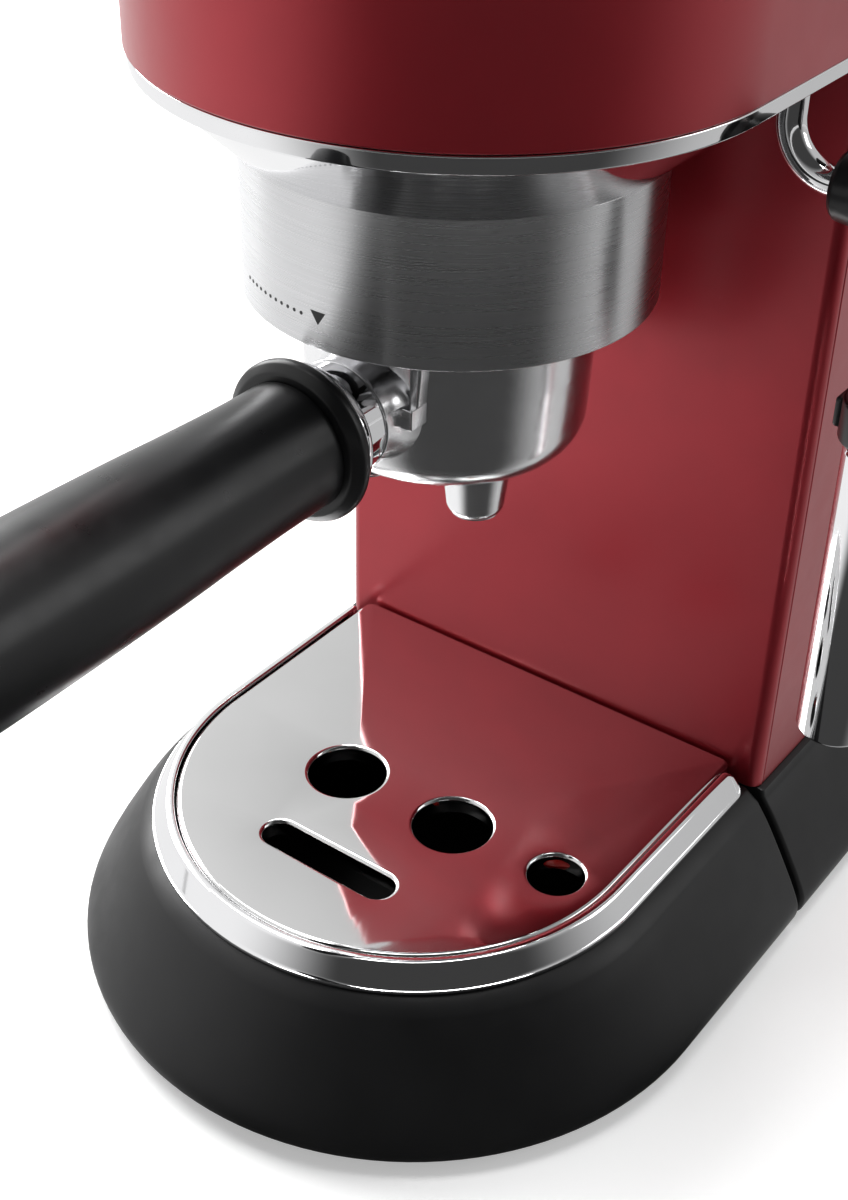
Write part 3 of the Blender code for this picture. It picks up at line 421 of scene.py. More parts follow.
RUBBER = finish("rubber", "rubber", (0.018, 0.018, 0.018), 0.70, mottle=(0.2, 6.0), wear=(0.08, 3.0),
                grain=(0.02, 0.5))
SILICONE = finish("silicone", "silicone", (0.75, 0.73, 0.70), 0.45, mottle=(0.05, 8.0), wear=(0.05, 4.0),
                  grain=(0.004, 1.0))
BRASS = finish("brass", "brass", (0.72, 0.50, 0.20), 0.28, mottle=(0.10, 6.0), wear=(0.08, 3.0),
               grain=(0.006, 0.8),
               Metallic=1.0)
ALUMINIUM = finish("aluminium", "aluminium", (0.62, 0.62, 0.63), 0.34, mottle=(0.06, 8.0),
                   wear=(0.06, 3.0), grain=(0.01, 0.8),
                   Metallic=1.0)
SMOKE = finish("smoke_plastic", "smoke_plastic", (0.045, 0.046, 0.050), 0.10, mottle=(0.08, 40.0),
               wear=(0.03, 15.0),
               grain=(0.002, 12.0), Transmission_Weight=0.35, IOR=1.49)
BOARD = finish("board_green", "board_green", (0.02, 0.12, 0.05), 0.40, mottle=(0.25, 4.0),
               wear=(0.10, 2.0), grain=(0.01, 0.6))
SIGNAL_RED = finish("signal_red", "signal_red", (0.55, 0.02, 0.015), 0.30, mottle=(0.06, 6.0),
                    wear=(0.05, 3.0),
                    grain=(0.002, 1.0))
PRINT_BLACK = finish("print_black", "black_plastic", (0.012, 0.012, 0.013), 0.50, mottle=(0.10, 2.0),
                     wear=(0.05, 1.0),
                     grain=(0.001, 0.3))
PRINT_WHITE = finish("print_white", "silicone", (0.62, 0.62, 0.62), 0.50, mottle=(0.05, 2.0),
                     wear=(0.05, 1.0),
                     grain=(0.001, 0.3))


# ---------------------------------------------------------------- pieces


def piece(name, bm, material, *nodes, body=None, bevel=0.0, sharp=35.0):
    """A shown mesh that stands for CAD nodes and rides on their body."""
    bm.transform(Matrix.Translation(ORIGIN) @ Matrix.Scale(MM, 4))
    mesh = bpy.data.meshes.new(name)
    bm.to_mesh(mesh)
    bm.free()
    mesh.shade_smooth()
    mesh.set_sharp_from_angle(angle=math.radians(sharp))
    mesh.materials.append(material)
    obj = bpy.data.objects.new(name, mesh)
    bpy.context.scene.collection.objects.link(obj)
    if bevel:
        edges = obj.modifiers.new("edges", "BEVEL")
        edges.width = bevel * MM
        edges.segments = 3
        edges.limit_method = "ANGLE"
        edges.angle_limit = math.radians(sharp)
        edges.use_clamp_overlap = True
        weights = obj.modifiers.new("normals", "WEIGHTED_NORMAL")
        weights.keep_sharp = True
    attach(obj, body or frame["nodes"][nodes[0]]["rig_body"])
    if nodes:
        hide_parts(*nodes)
    return obj


def dress(material, *nodes):
    """Gives CAD nodes that are shown as they are a finished material."""
    for node in nodes:
        mesh = frame["nodes"][node].data
        mesh.materials.clear()
        mesh.materials.append(material)


# ---------------------------------------------------------------- driving dimensions

HEAD_LOW, HEAD_HIGH = span("head_cover")
PANEL_LOW, PANEL_HIGH = span("column_panel")
TRIM_LOW, TRIM_HIGH = span("trim_ring")
FUNNEL_LOW, FUNNEL_HIGH = span("head_underside")
SKIRT_LOW, SKIRT_HIGH = span("group_skirt")
HEAD_RADIUS = HEAD_HIGH.x
HEAD_CENTRE_Y = HEAD_LOW.y + HEAD_RADIUS
SKIRT_RADIUS = SKIRT_HIGH.x
SHEET = 1.4         # painted sheet


# ---------------------------------------------------------------- painted body and head


def head_cover():
    """The U-shaped cover: a band round the head and the two sides of the column, in one sheet."""
    seam_y = PANEL_HIGH.y + GAP
    trim_z = TRIM_HIGH.z + GAP
    knob_y, knob_z = middle("steam_knob").yz
    bm = bmesh.new()
    path = u_path(HEAD_RADIUS, HEAD_CENTRE_Y, HEAD_HIGH.y, seams=[seam_y])
    columns = []
    for x, y, *_ in path:
        low = [(x, y, HEAD_LOW.z)] if y >= seam_y - 0.01 else []
        columns.append([bm.verts.new(p) for p in low + [(x, y, trim_z), (x, y, HEAD_HIGH.z)]])
    for near, far in zip(columns, columns[1:]):
        for k in range(1, min(len(near), len(far))):
            bm.faces.new((near[-k], near[-k - 1], far[-k - 1], far[-k]))
    bmesh.ops.recalc_face_normals(bm, faces=bm.faces)
    front = min(bm.faces, key=lambda f: f.calc_center_median().y)
    if front.normal.y > 0:
        bmesh.ops.reverse_faces(bm, faces=bm.faces)
    bmesh.ops.solidify(bm, geom=bm.faces, thickness=SHEET)
    outward(bm)
    hole = turned([(0, -4), (5.6, -4), (5.6, 4), (0, 4)], "X", (HEAD_RADIUS, knob_y, knob_z), SMALL_TURN)
    piece("head_cover_skin", cut(bm, hole), RED, "head_cover", bevel=0.35)


def column_panel():
    """The front of the column, with its two corners rolled back to meet the sides."""
    roll = PANEL_HIGH.y - PANEL_LOW.y
    side = PANEL_HIGH.x
    outer = (outline_corner(side - roll, PANEL_HIGH.y, roll, 0, -90)
             + outline_corner(-side + roll, PANEL_HIGH.y, roll, -90, -180))
    wall = SHEET
    inner = (outline_corner(side - roll, PANEL_HIGH.y, roll - wall, 0, -90)
             + outline_corner(-side + roll, PANEL_HIGH.y, roll - wall, -90, -180))
    section = [(x, y) for x, y, *_ in outer] + [(x, y) for x, y, *_ in reversed(inner)]
    bm = bmesh.new()
    skin(bm, [[(x, y, z) for x, y in section] for z in (PANEL_LOW.z, PANEL_HIGH.z)])
    piece("column_panel_skin", outward(bm), RED, "column_panel", bevel=0.3)


def trim_ring():
    """The thin bright moulding under the painted head."""
    thick = HEAD_RADIUS - TRIM_HIGH.x
    inner = TRIM_HIGH.x - HEAD_RADIUS - 1.2
    section = fillet([(-thick, TRIM_HIGH.z, 0.35), (inner, TRIM_HIGH.z, 0.0), (inner, TRIM_LOW.z, 0.0),
                      (-thick - 0.25, TRIM_LOW.z, 0.55)])
    path = u_path(HEAD_RADIUS, HEAD_CENTRE_Y, TRIM_HIGH.y)
    piece("trim_moulding", swept(path, section), CHROME, "trim_ring")


def underside_outline(inset, steps):
    """The head's outline seen from the group's axis, as (x, y) at even angles and at both back corners."""
    radius = HEAD_RADIUS - inset
    back = FUNNEL_HIGH.y
    corner = math.atan2(back, radius)
    angles = sorted([math.tau * i / steps for i in range(steps)] + [corner, math.pi - corner])
    points = []
    for a in angles:
        dx, dy = math.cos(a), math.sin(a)
        reach = HEAD_CENTRE_Y * dy + math.sqrt(radius ** 2 - (HEAD_CENTRE_Y * dx) ** 2)
        if reach * dy > HEAD_CENTRE_Y:
            reach = min(radius / max(abs(dx), 1e-6), back / max(dy, 1e-6))
        points.append((dx * reach, dy * reach, dx, dy))
    return points


def head_underside():
    """The polished funnel that closes the head and narrows to the brew group."""
    mouth = SKIRT_RADIUS + 0.6
    bore = mouth - 3.9
    edge = HEAD_RADIUS - FUNNEL_HIGH.x
    outline = underside_outline(edge, 3 * TURN)
    rim_z = FUNNEL_HIGH.z - 1.2

    def ring(share, z, sink=0.0):
        reach = [(x * (1 - share) + mouth * dx * share, y * (1 - share) + mouth * dy * share, dx, dy)
                 for x, y, dx, dy in outline]
        return [(x - dx * sink, y - dy * sink, z) for x, y, dx, dy in reach]

    outer = [ring(0, FUNNEL_HIGH.z), ring(0, rim_z + 0.3), ring(0.02, rim_z)]
    steps = 24
    for k in range(1, steps + 1):
        t = k / steps
        outer.append(ring(0.02 + 0.98 * t, rim_z + (FUNNEL_LOW.z - rim_z) * t))
    bore_ring = [(dx * bore, dy * bore, FUNNEL_LOW.z) for x, y, dx, dy in outline]
    top_ring = [(dx * bore, dy * bore, FUNNEL_LOW.z + 2.0) for x, y, dx, dy in outline]
    inner = [bore_ring, top_ring, ring(0.1, FUNNEL_HIGH.z, 1.5), ring(0, FUNNEL_HIGH.z, 1.5)]
    bm = bmesh.new()
    skin(bm, outer + inner, loop=True)
    outward(bm)
    tube_x, tube_y = steam_tube_foot()
    hole = turned([(0, 180), (3.15, 180), (3.15, 215), (0, 215)], "Z", (tube_x, tube_y, 0), SMALL_TURN)
    piece("underside_funnel", cut(bm, hole), CHROME, "head_underside", sharp=25)


def group_skirt():
    """The brushed ring round the group; its closing mark and row of dots are drawn by skirt_marks()."""
    low, high = SKIRT_LOW.z, SKIRT_HIGH.z
    wall = 1.2
    profile = fillet([(SKIRT_RADIUS, low, 0.45), (SKIRT_RADIUS, high, 0.2),
                      (SKIRT_RADIUS - wall, high, 0.2), (SKIRT_RADIUS - wall, low, 0.3)])
    piece("skirt_ring", turned(profile, steps=2 * TURN), STEEL, "group_skirt", sharp=40)


def on_skirt(arc_mm, z, lift):
    """A point on the skirt's face, arc_mm round to the right of its front."""
    angle = arc_mm / SKIRT_RADIUS - math.pi / 2
    reach = SKIRT_RADIUS + lift
    return (reach * math.cos(angle), reach * math.sin(angle), z)


def skirt_print(bm, outline):
    """A printed shape on the skirt, from (arc, height) corners."""
    film = 0.04
    skin(bm, [[on_skirt(u, z, lift) for u, z in outline] for lift in (-film, film)])


def skirt_marks():
    """A plain triangle that points at the closed position, and a row of dots that leads to it."""
    bm = bmesh.new()
    tip_z = SKIRT_LOW.z + 4.8
    half, tall = 1.65, 2.5
    skirt_print(bm, [(0, tip_z), (half, tip_z + tall), (-half, tip_z + tall)])
    dots, pitch, first = 11, 1.75, 3.9
    for k in range(dots):
        centre_u = -(first + pitch * k)
        centre_z = tip_z + 1.1
        skirt_print(bm, arc(centre_u, centre_z, 0.35, 0, 330, 11))
    piece("skirt_marks", outward(bm), PRINT_BLACK, body="machine")
# ---------------------------------------------------------------- portafilter

HOLDER_LOW, HOLDER_HIGH = span("portafilter_body")
HANDLE_Z = middle("handle_grip").z
HOLDER_RADIUS = 28.1
BARREL_RADIUS = 10.8    # cast boss and bright neck, one straight barrel


def collar():
    """The cast boss for the handle's neck, flared where it runs into the bowl."""
    front = HOLDER_LOW.y
    root = 12.4
    steps = 14
    rings = []
    for k in range(4):
        a = math.radians(30 * k)
        rings.append((BARREL_RADIUS - 0.4 + 0.4 * math.sin(a), 0.4 - 0.4 * math.cos(a), 0.0))
    for k in range(steps + 1):
        t = k / steps
        rings.append((BARREL_RADIUS + (root - BARREL_RADIUS) * t ** 2.6, 0.4, t))
    bm = bmesh.new()
    rows = []
    for radius, ahead, t in rings:
        row = []
        for i in range(SMALL_TURN):
            a = math.tau * i / SMALL_TURN
            x, dz = radius * math.cos(a), radius * math.sin(a) * (1 - 0.10 * t ** 2)
            surface = -math.sqrt(max(HOLDER_RADIUS ** 2 - x * x, 1.0)) + 0.25
            y = front + ahead
            row.append((x, y + (surface - y) * t, HANDLE_Z + dz))
        rows.append(row)
    inner = [(x * 0.55, -HOLDER_RADIUS * 0.6, HANDLE_Z + (z - HANDLE_Z) * 0.8) for x, y, z in rows[-1]]
    skin(bm, [[(x * 0.3, front, HANDLE_Z + (z - HANDLE_Z) * 0.3) for x, y, z in rows[0]]] + rows + [inner])
    return outward(bm)


def front_pad(outline, back, front, edge):
    """A raised pad facing the handle: an outline of (x, z) points with a rounded front edge."""
    middle_x = (min(x for x, z in outline) + max(x for x, z in outline)) / 2
    middle_z = (min(z for x, z in outline) + max(z for x, z in outline)) / 2
    half_x = max(x for x, z in outline) - middle_x
    half_z = max(z for x, z in outline) - middle_z
    rings = [[(x, back, z) for x, z in outline]]
    for k in range(ROUND + 1):
        a = math.radians(90 * k / ROUND)
        inset = edge * (1 - math.cos(a))
        rings.append([(middle_x + (x - middle_x) * (1 - inset / half_x), front + edge * (1 - math.sin(a)),
                       middle_z + (z - middle_z) * (1 - inset / half_z)) for x, z in outline])
    bm = bmesh.new()
    skin(bm, rings)
    return outward(bm)


def cast_stop():
    """The cast rib beside the barrel, with the small block that stops against the group."""
    rib = front_pad(fillet([(10.9, 143.3, 0.2), (11.7, 142.9, 0.4), (12.9, 146.6, 2.0), (13.4, 153.0, 6.0),
                            (13.6, 159.6, 0.2), (10.9, 159.6, 0.2)]), -23.2, -27.5, 0.7)
    block = front_pad(fillet([(10.7, 144.0, 0.2), (13.2, 144.0, 0.2), (13.2, 148.1, 0.2),
                              (10.7, 148.1, 0.2)]),
                      -25.0, -29.5, 0.3)
    return rib, block


def portafilter_body():
    """The polished cast bowl that holds the basket."""
    top = HOLDER_HIGH.z
    low = HOLDER_LOW.z
    r = HOLDER_RADIUS
    outer = fillet([(0, low, 0), (27.3, low, 8.2), (r, low + 20.0, 12.0), (r, top, 0.8), (r - 2.6, top, 0.6),
                    (r - 2.8, low + 12.0, 3.0), (r - 3.4, low + 2.8, 5.0), (0, low + 2.8, 0)],
                    closed=False, steps=10)
    bowl = turned(outer)
    lugs = []
    for side in (-1, 1):
        lug = stacked(box_outline(side * 28.5, 0, 3.7, 5.0, 1.0),
                      [(-0.4, 164.4), (0, 164.8), (0, 167.4), (-0.4, 167.8)])
        lugs.append(lug)
    piece("portafilter_bowl", joined(bowl, collar(), *cast_stop(), *lugs), CAST, "portafilter_body",
          sharp=38)


def spout(node):
    """A short tapered pouring cup under the bowl, open at the bottom."""
    low, high = span(node)
    x, y = middle(node).xy
    sink = 0.8
    head, foot, mouth = (high.x - low.x) / 2, 5.5, 4.2
    profile = fillet([(0, high.z + sink, 0), (head, high.z + sink, 0), (foot + 0.1, low.z + 1.0, 2.6),
                      (foot - 1.0, low.z, 0.4), (mouth, low.z, 0.5), (mouth + 0.3, low.z + 3.0, 2.0),
                      (3.4, high.z - 2.4, 0.8), (0, high.z - 2.0, 0)], closed=False)
    piece(f"{node}_cup", turned(profile, centre=(x, y, 0), steps=SMALL_TURN), CAST, node, sharp=40)


def handle():
    """Bright neck with its collar ring, black flange, long tapered grip and end cap."""
    centre = (0, 0, HANDLE_Z)
    neck_high = span("handle_neck")[1]
    flange_low, flange_high = span("handle_flange")
    grip_low, grip_high = span("handle_grip")
    cap_low, cap_high = span("handle_cap")

    ring_back, ring_front = flange_high.y + 2.6, flange_high.y + 0.2
    neck = fillet([(0, neck_high.y, 0), (BARREL_RADIUS, neck_high.y, 0.35),
                   (BARREL_RADIUS, ring_back + 0.3, 0.6), (12.9, ring_back, 0.6),
                   (13.6, ring_back - 1.0, 0.7),
                   (13.6, ring_front, 0.3), (9.0, ring_front, 0), (0, ring_front, 0)], closed=False)
    piece("handle_neck_ring", turned(neck, "Y", centre), CHROME, "handle_neck", sharp=40)

    back, front = flange_high.y, flange_low.y
    flange_radius = flange_high.x
    flange = fillet([(0, back, 0), (flange_radius - 1.2, back, 1.2), (flange_radius, back - 1.6, 1.2),
                     (flange_radius, front + 1.4, 1.2), (flange_radius - 1.9, front, 1.3), (0, front, 0)],
                    closed=False)
    piece("handle_flange_lip", turned(flange, "Y", centre), GRIP_BLACK, "handle_flange", sharp=50)

    start, end = grip_high.y, grip_low.y
    radii = [(12.2, start), (12.3, -59), (12.7, -72), (13.2, -84), (13.7, -102), (14.05, -122), (14.2, -145),
             (14.2, -158)]
    body = smooth_line(radii, 6)
    tail = fillet([(14.2, -158, 0), (14.0, end + 2.0, 2.5), (8.4, end, 1.0), (0, end, 0)], closed=False)
    head = fillet([(0, start, 0), (12.2, start, 0.4), (12.2, start - 3, 0)], closed=False)
    piece("handle_grip_body", turned(head[:-1] + body + tail[1:], "Y", centre), GRIP_BLACK, "handle_grip",
          sharp=50)

    cap_radius = cap_high.x
    cap = fillet([(0, cap_high.y, 0), (cap_radius, cap_high.y, 0.3),
                  (cap_radius - 0.3, cap_low.y + 0.9, 1.5),
                  (cap_radius - 3.0, cap_low.y, 2.0), (0, cap_low.y, 0)], closed=False)
    piece("handle_end_cap", turned(cap, "Y", centre), GLOSS_BLACK, "handle_cap", sharp=50)




# ---------------------------------------------------------------- base, tray and grille

BASE_HIGH = span("base_chassis")[1]
TRAY_LOW, TRAY_HIGH = span("drip_tray")
RIM_LOW, RIM_HIGH = span("tray_rim")
GRILLE_LOW, GRILLE_HIGH = span("cup_grille")
BASE_WIDEST = TRAY_HIGH.x
TRAY_CENTRE_Y = TRAY_LOW.y + BASE_WIDEST


def flare():
    """The flared side of the base, from the floor up: (distance in from the widest line, height)."""
    points = [(1.9, 2.6), (0.5, 4.4), (0.0, 7.0), (0.5, 9.5), (2.3, 13.4), (4.8, 18.0), (7.8, 23.2),
              (10.8, 28.1), (13.8, 32.2)]
    return smooth_line(points, 5)


def base_outline(inset):
    """The rear base's outline: straight front, and rounded corners at the back."""
    half = BASE_WIDEST - inset
    front, back = PANEL_LOW.y + 1.3, BASE_HIGH.y - inset
    corner = max(22.0 - inset, 3.0)
    edge = 1.0
    return (outline_corner(half - corner, back - corner, corner, 0, 90)
            + outline_corner(-half + corner, back - corner, corner, 90, 180)
            + outline_corner(-half + edge, front + edge, edge, 180, 270, ROUND)
            + outline_corner(half - edge, front + edge, edge, 270, 360, ROUND))


def base_chassis():
    """The rear base with its switch opening and lead hole, and the tongue that lies under the tray."""
    deck = BASE_WIDEST - span("head_cover")[1].x - 0.2
    sides = flare() + [(deck - 1.0, 33.9), (deck, BASE_HIGH.z)]
    wall = 3.6
    rings = [ring_at(base_outline(deck + 0.5), 0, BASE_HIGH.z - 3.6),
             ring_at(base_outline(6.0 + wall), 0, 13.4), ring_at(base_outline(2.4 + wall), 0, sides[0][1])]
    rings += [ring_at(base_outline(inset), 0, z) for inset, z in sides]
    bm = bmesh.new()
    skin(bm, rings)
    outward(bm)
    switch = middle("power_switch")
    gland = middle("cord_gland")
    opening = stacked(box_outline(switch.x, switch.z, 10.5, 7.4, 1.2), [(0, 0), (0, 30)])
    opening.transform(Matrix.Translation((0, 257, 0)) @ Matrix.Rotation(math.radians(90), 4, "X"))
    bore = turned([(0, 225), (6.3, 225), (6.3, 255), (0, 255)], "Y", (gland.x, 0, gland.z), SMALL_TURN)
    piece("base_shell", cut(cut(bm, opening), bore), SATIN_BLACK, "base_chassis", sharp=32)

    low = 2.7
    high = 4.8
    outline = front_outline(46.0, -10.0, PANEL_LOW.y + 1.6, 1.0)
    piece("base_tongue", slab(outline, low, high, 0.5), SATIN_BLACK, body="machine", sharp=40)


def tray_outline(width, back_inset=0.0, corner=1.4):
    return front_outline(width, TRAY_CENTRE_Y, TRAY_HIGH.y - back_inset, corner)


def drip_tray():
    """The lift-away tray: flared black sides, an open bowl and a hollow below for the tongue."""
    top = TRAY_HIGH.z
    rings = [ring_at(tray_outline(46.0, 5.0, 8.0), 0, 7.6), ring_at(tray_outline(48.6, 4.0, 8.0), 0, 8.8),
             ring_at(tray_outline(50.0, 3.2, 8.0), 0, 12.6),
             ring_at(tray_outline(50.3, 2.8, 6.0), 0, top - 0.4),
             ring_at(tray_outline(50.7, 2.4, 6.0), 0, top)]
    outer = [(BASE_WIDEST - inset, z) for inset, z in flare()]
    rings += [ring_at(tray_outline(56.9, 0.5), 0, top), ring_at(tray_outline(57.5), 0, top - 0.25)]
    rings += [ring_at(tray_outline(width), 0, z) for width, z in reversed(outer)]
    rings += [ring_at(tray_outline(outer[0][0] - 1.6, 1.0), 0, outer[0][1] - 0.2),
              ring_at(tray_outline(outer[0][0] - 3.0, 2.0), 0, outer[0][1] + 0.6),
              ring_at(tray_outline(outer[0][0] - 3.2, 2.2), 0, 5.6)]
    bm = bmesh.new()
    skin(bm, rings)
    piece("tray_bowl", outward(bm), SATIN_BLACK, "drip_tray", sharp=32)


def tray_rim():
    """The bright convex rim that follows the tray and ends, rounded, beside the column."""
    inner, outer = GRILLE_HIGH.x + 0.35, RIM_HIGH.x
    low, high = RIM_LOW.z, RIM_HIGH.z
    section = fillet([(inner, low, 0.0), (inner, high, 0.5), (inner + 1.7, high - 0.05, 1.5),
                      (outer - 0.35, high - 4.7, 1.2), (outer, low + 1.0, 0.25), (outer, low, 0.1)])
    section = [(r - BASE_WIDEST, z) for r, z in section]
    path = u_path(BASE_WIDEST, TRAY_CENTRE_Y, RIM_HIGH.y)
    piece("tray_rim_moulding", swept(path, section, ends=2.6), CHROME, "tray_rim", sharp=40)


def capsule_outline(x, y, half_length, radius):
    """A slot's outline along X."""
    reach = half_length - radius
    return (outline_corner(x + reach, y, radius, -90, 90) + outline_corner(x - reach, y, radius, 90, 270))


def loop_edges(row):
    """The edges that close a row of vertices into a loop."""
    edges = []
    for here, there in zip(row, row[1:] + row[:1]):
        edges.append([e for e in here.link_edges if e.other_vert(here) is there][0])
    return edges


def lip_profile(lip, depth, top, wall):
    """The rolled edge of an opening: over the round, down the inside and back under the plate."""
    back = 0.7
    roll = [(-lip * math.sin(a), top - lip * (1 - math.cos(a)))
            for a in (math.radians(90 * k / 8) for k in range(9))]
    return roll + [(-lip, top - depth), (-lip + 0.2, top - depth - 0.3), (-lip + back, top - depth),
                   (-lip + back, top - 2 * wall), (0.3, top - wall)]


def cup_grille():
    """The bright plate that cups stand on, with a rolled lip round each opening."""
    top, low = GRILLE_HIGH.z, GRILLE_LOW.z
    edge, lip, depth, wall = 1.3, 0.95, 3.9, 1.0
    float_place = middle("float_indicator")
    drain_x, drain_y = 14.6, -13.7
    openings = [outline_corner(side * drain_x, drain_y, 9.65, 0, 360, SMALL_TURN)[:-1] for side in (-1, 1)]
    openings.append(outline_corner(float_place.x, float_place.y, 6.95, 0, 360, SMALL_TURN)[:-1])
    openings.append(capsule_outline(0, -38.7, 17.9, 4.75))

    bm = bmesh.new()
    outline = front_outline(GRILLE_HIGH.x, TRAY_CENTRE_Y, GRILLE_HIGH.y, 2.4)
    side = [(-wall - 0.6, top - wall), (-wall, top - wall - 0.6), (-wall, low), (0, low)]
    side += arc(-edge, top - edge, edge, 0, 90, 8)
    border = skin(bm, [ring_at(outline, offset, z) for offset, z in side], caps=False)
    under_edges, top_edges = loop_edges(border[0]), loop_edges(border[-1])
    for stations in openings:
        rows = skin(bm, [ring_at(stations, offset, z) for offset, z in lip_profile(lip, depth, top, wall)],
                    caps=False)
        top_edges += loop_edges(rows[0])
        under_edges += loop_edges(rows[-1])
    bmesh.ops.triangle_fill(bm, use_beauty=True, use_dissolve=False, edges=top_edges)
    bmesh.ops.triangle_fill(bm, use_beauty=True, use_dissolve=False, edges=under_edges)
    piece("cup_grille_plate", outward(bm), SHADED_CHROME, "cup_grille", sharp=40)


def float_indicator():
    """The red float that shows in its opening when the tray is full."""
    low, high = span("float_indicator")
    x, y = middle("float_indicator").xy
    radius = high.x - x
    profile = fillet([(0, high.z, 0), (radius - 0.4, high.z, 1.0), (radius, high.z - 4.0, 3.0),
                      (radius, low.z, 0.8), (0, low.z, 0)], closed=False)
    piece("float_button", turned(profile, centre=(x, y, 0), steps=SMALL_TURN), SIGNAL_RED, "float_indicator")


def feet():
    """Four rubber feet with a rounded tread and a groove."""
    for node in ("foot_front_left", "foot_front_right", "foot_rear_left", "foot_rear_right"):
        low, high = span(node)
        x, y = middle(node).xy
        radius = high.x - x
        profile = fillet([(0, high.z, 0), (radius - 0.6, high.z, 0.2), (radius, high.z - 0.8, 0.3),
                          (radius, low.z, 0.6), (radius - 2.0, low.z, 0.3), (radius - 2.4, low.z + 0.6, 0.2),
                          (radius - 3.4, low.z + 0.6, 0.2), (radius - 3.8, low.z, 0.3), (0, low.z, 0)],
                         closed=False, steps=3)
        piece(f"{node}_pad", turned(profile, centre=(x, y, 0), steps=SMALL_TURN), RUBBER, node)


# ---------------------------------------------------------------- steam wand and knob


def pipe(points, radius, steps=32):
    """A round bar along a path, with its ends closed."""
    path = [Vector(p) for p in points]
    rings = []
    side = Vector((0, 1, 0))
    for i, here in enumerate(path):
        ahead = (path[min(i + 1, len(path) - 1)] - path[max(i - 1, 0)]).normalized()
        side = (side - ahead * side.dot(ahead)).normalized()
        up = ahead.cross(side)
        rings.append([tuple(here + (side * math.cos(a) + up * math.sin(a)) * radius)
                      for a in (math.tau * k / steps for k in range(steps))])
    bm = bmesh.new()
    skin(bm, rings)
    return outward(bm)


def steam_tube_foot():
    """Where the steam tube leaves the head, as (x, y)."""
    low, high = span("steam_tube")
    radius = (high.y - low.y) / 2
    return low.x + radius, low.y + radius


def steam_tube():
    """The bright tube that drops out of the funnel and bends out to the swivel."""
    low, high = span("steam_tube")
    radius = (high.y - low.y) / 2
    x, y = steam_tube_foot()
    z = low.z + radius
    bend = 10.0
    corner = [(u, y, v) for u, v in arc(x + bend, z + bend, bend, 180, 270, 24)]
    piece("steam_tube_bent", pipe([(x, y, high.z), *corner, (high.x, y, z)], radius), CHROME, "steam_tube",
          sharp=50)


def swivel():
    """The black elbow that the wand swings on."""
    low = span("steam_joint")[0]
    pivot_z = span("steam_tube")[0].z + steam_tube_radius()
    neck_x, y = middle("steam_grip").xy
    bore = steam_tube_radius() + 0.35
    start = low.x
    profile = fillet([(0, start + 22.0, 0), (6.6, start + 20.6, 3.0), (9.0, start + 15.4, 2.5),
                      (9.0, start + 11.0, 2.0), (6.9, start + 6.2, 2.0), (6.4, start + 1.0, 0.8),
                      (5.6, start, 0.4), (bore, start, 0.2), (bore, start + 8.0, 0.2), (0, start + 8.0, 0)],
                     closed=False)
    elbow = turned(profile, "X", (0, y, pivot_z), SMALL_TURN)
    neck = turned(fillet([(0, pivot_z, 0), (6.0, pivot_z, 1.0), (6.0, low.z + 0.3, 0.3),
                          (0, low.z + 0.3, 0)],
                         closed=False), centre=(neck_x, y, 0), steps=SMALL_TURN)
    piece("swivel_elbow", joined(elbow, neck), GRIP_BLACK, "steam_joint", sharp=40)


def steam_tube_radius():
    low, high = span("steam_tube")
    return (high.y - low.y) / 2


def wand_grip():
    """The black hand grip below the swivel, with fine ribs where the fingers hold it."""
    low, high = span("steam_grip")
    x, y = middle("steam_grip").xy
    wide, slim = high.x - x, 7.0
    shoulder = high.z - 10.7
    points = [(0, high.z, 0), (wide - 1.3, high.z, 0.8), (wide, high.z - 1.8, 1.2)]
    ribs, pitch = 4, 1.5
    for k in range(ribs):
        rib_z = high.z - 2.8 - pitch * k
        points += [(wide, rib_z, 0.15), (wide - 0.4, rib_z - 0.3, 0.1), (wide - 0.4, rib_z - 0.6, 0.1),
                   (wide, rib_z - 0.9, 0.15)]
    points += [(wide, shoulder + 0.8, 0.5), (slim, shoulder, 0.3), (slim, low.z, 0.2), (0, low.z, 0)]
    piece("wand_grip_body", turned(fillet(points, closed=False, steps=3), centre=(x, y, 0),
                                   steps=SMALL_TURN),
          GRIP_BLACK, "steam_grip", sharp=40)


def froth_selector():
    """The sliding collar with its small thumb tab."""
    low, high = span("frother_selector")
    x, y = middle("steam_grip").xy
    outer, bore = high.x - x, 7.3
    ring = turned(fillet([(outer, high.z, 0.6), (outer, low.z, 0.6), (bore, low.z, 0.2),
                          (bore, high.z, 0.2)]),
                  centre=(x, y, 0), steps=SMALL_TURN)
    reach = (low.x + x - outer + 1.0) / 2
    half = (x - outer + 1.0 - low.x) / 2
    tab = slab(box_outline(reach, y, half, 3.0, 0.9), (low.z + high.z) / 2 - 3.0,
               (low.z + high.z) / 2 + 3.0, 0.7)
    piece("froth_selector_ring", joined(ring, tab), GRIP_BLACK, "frother_selector", sharp=40)


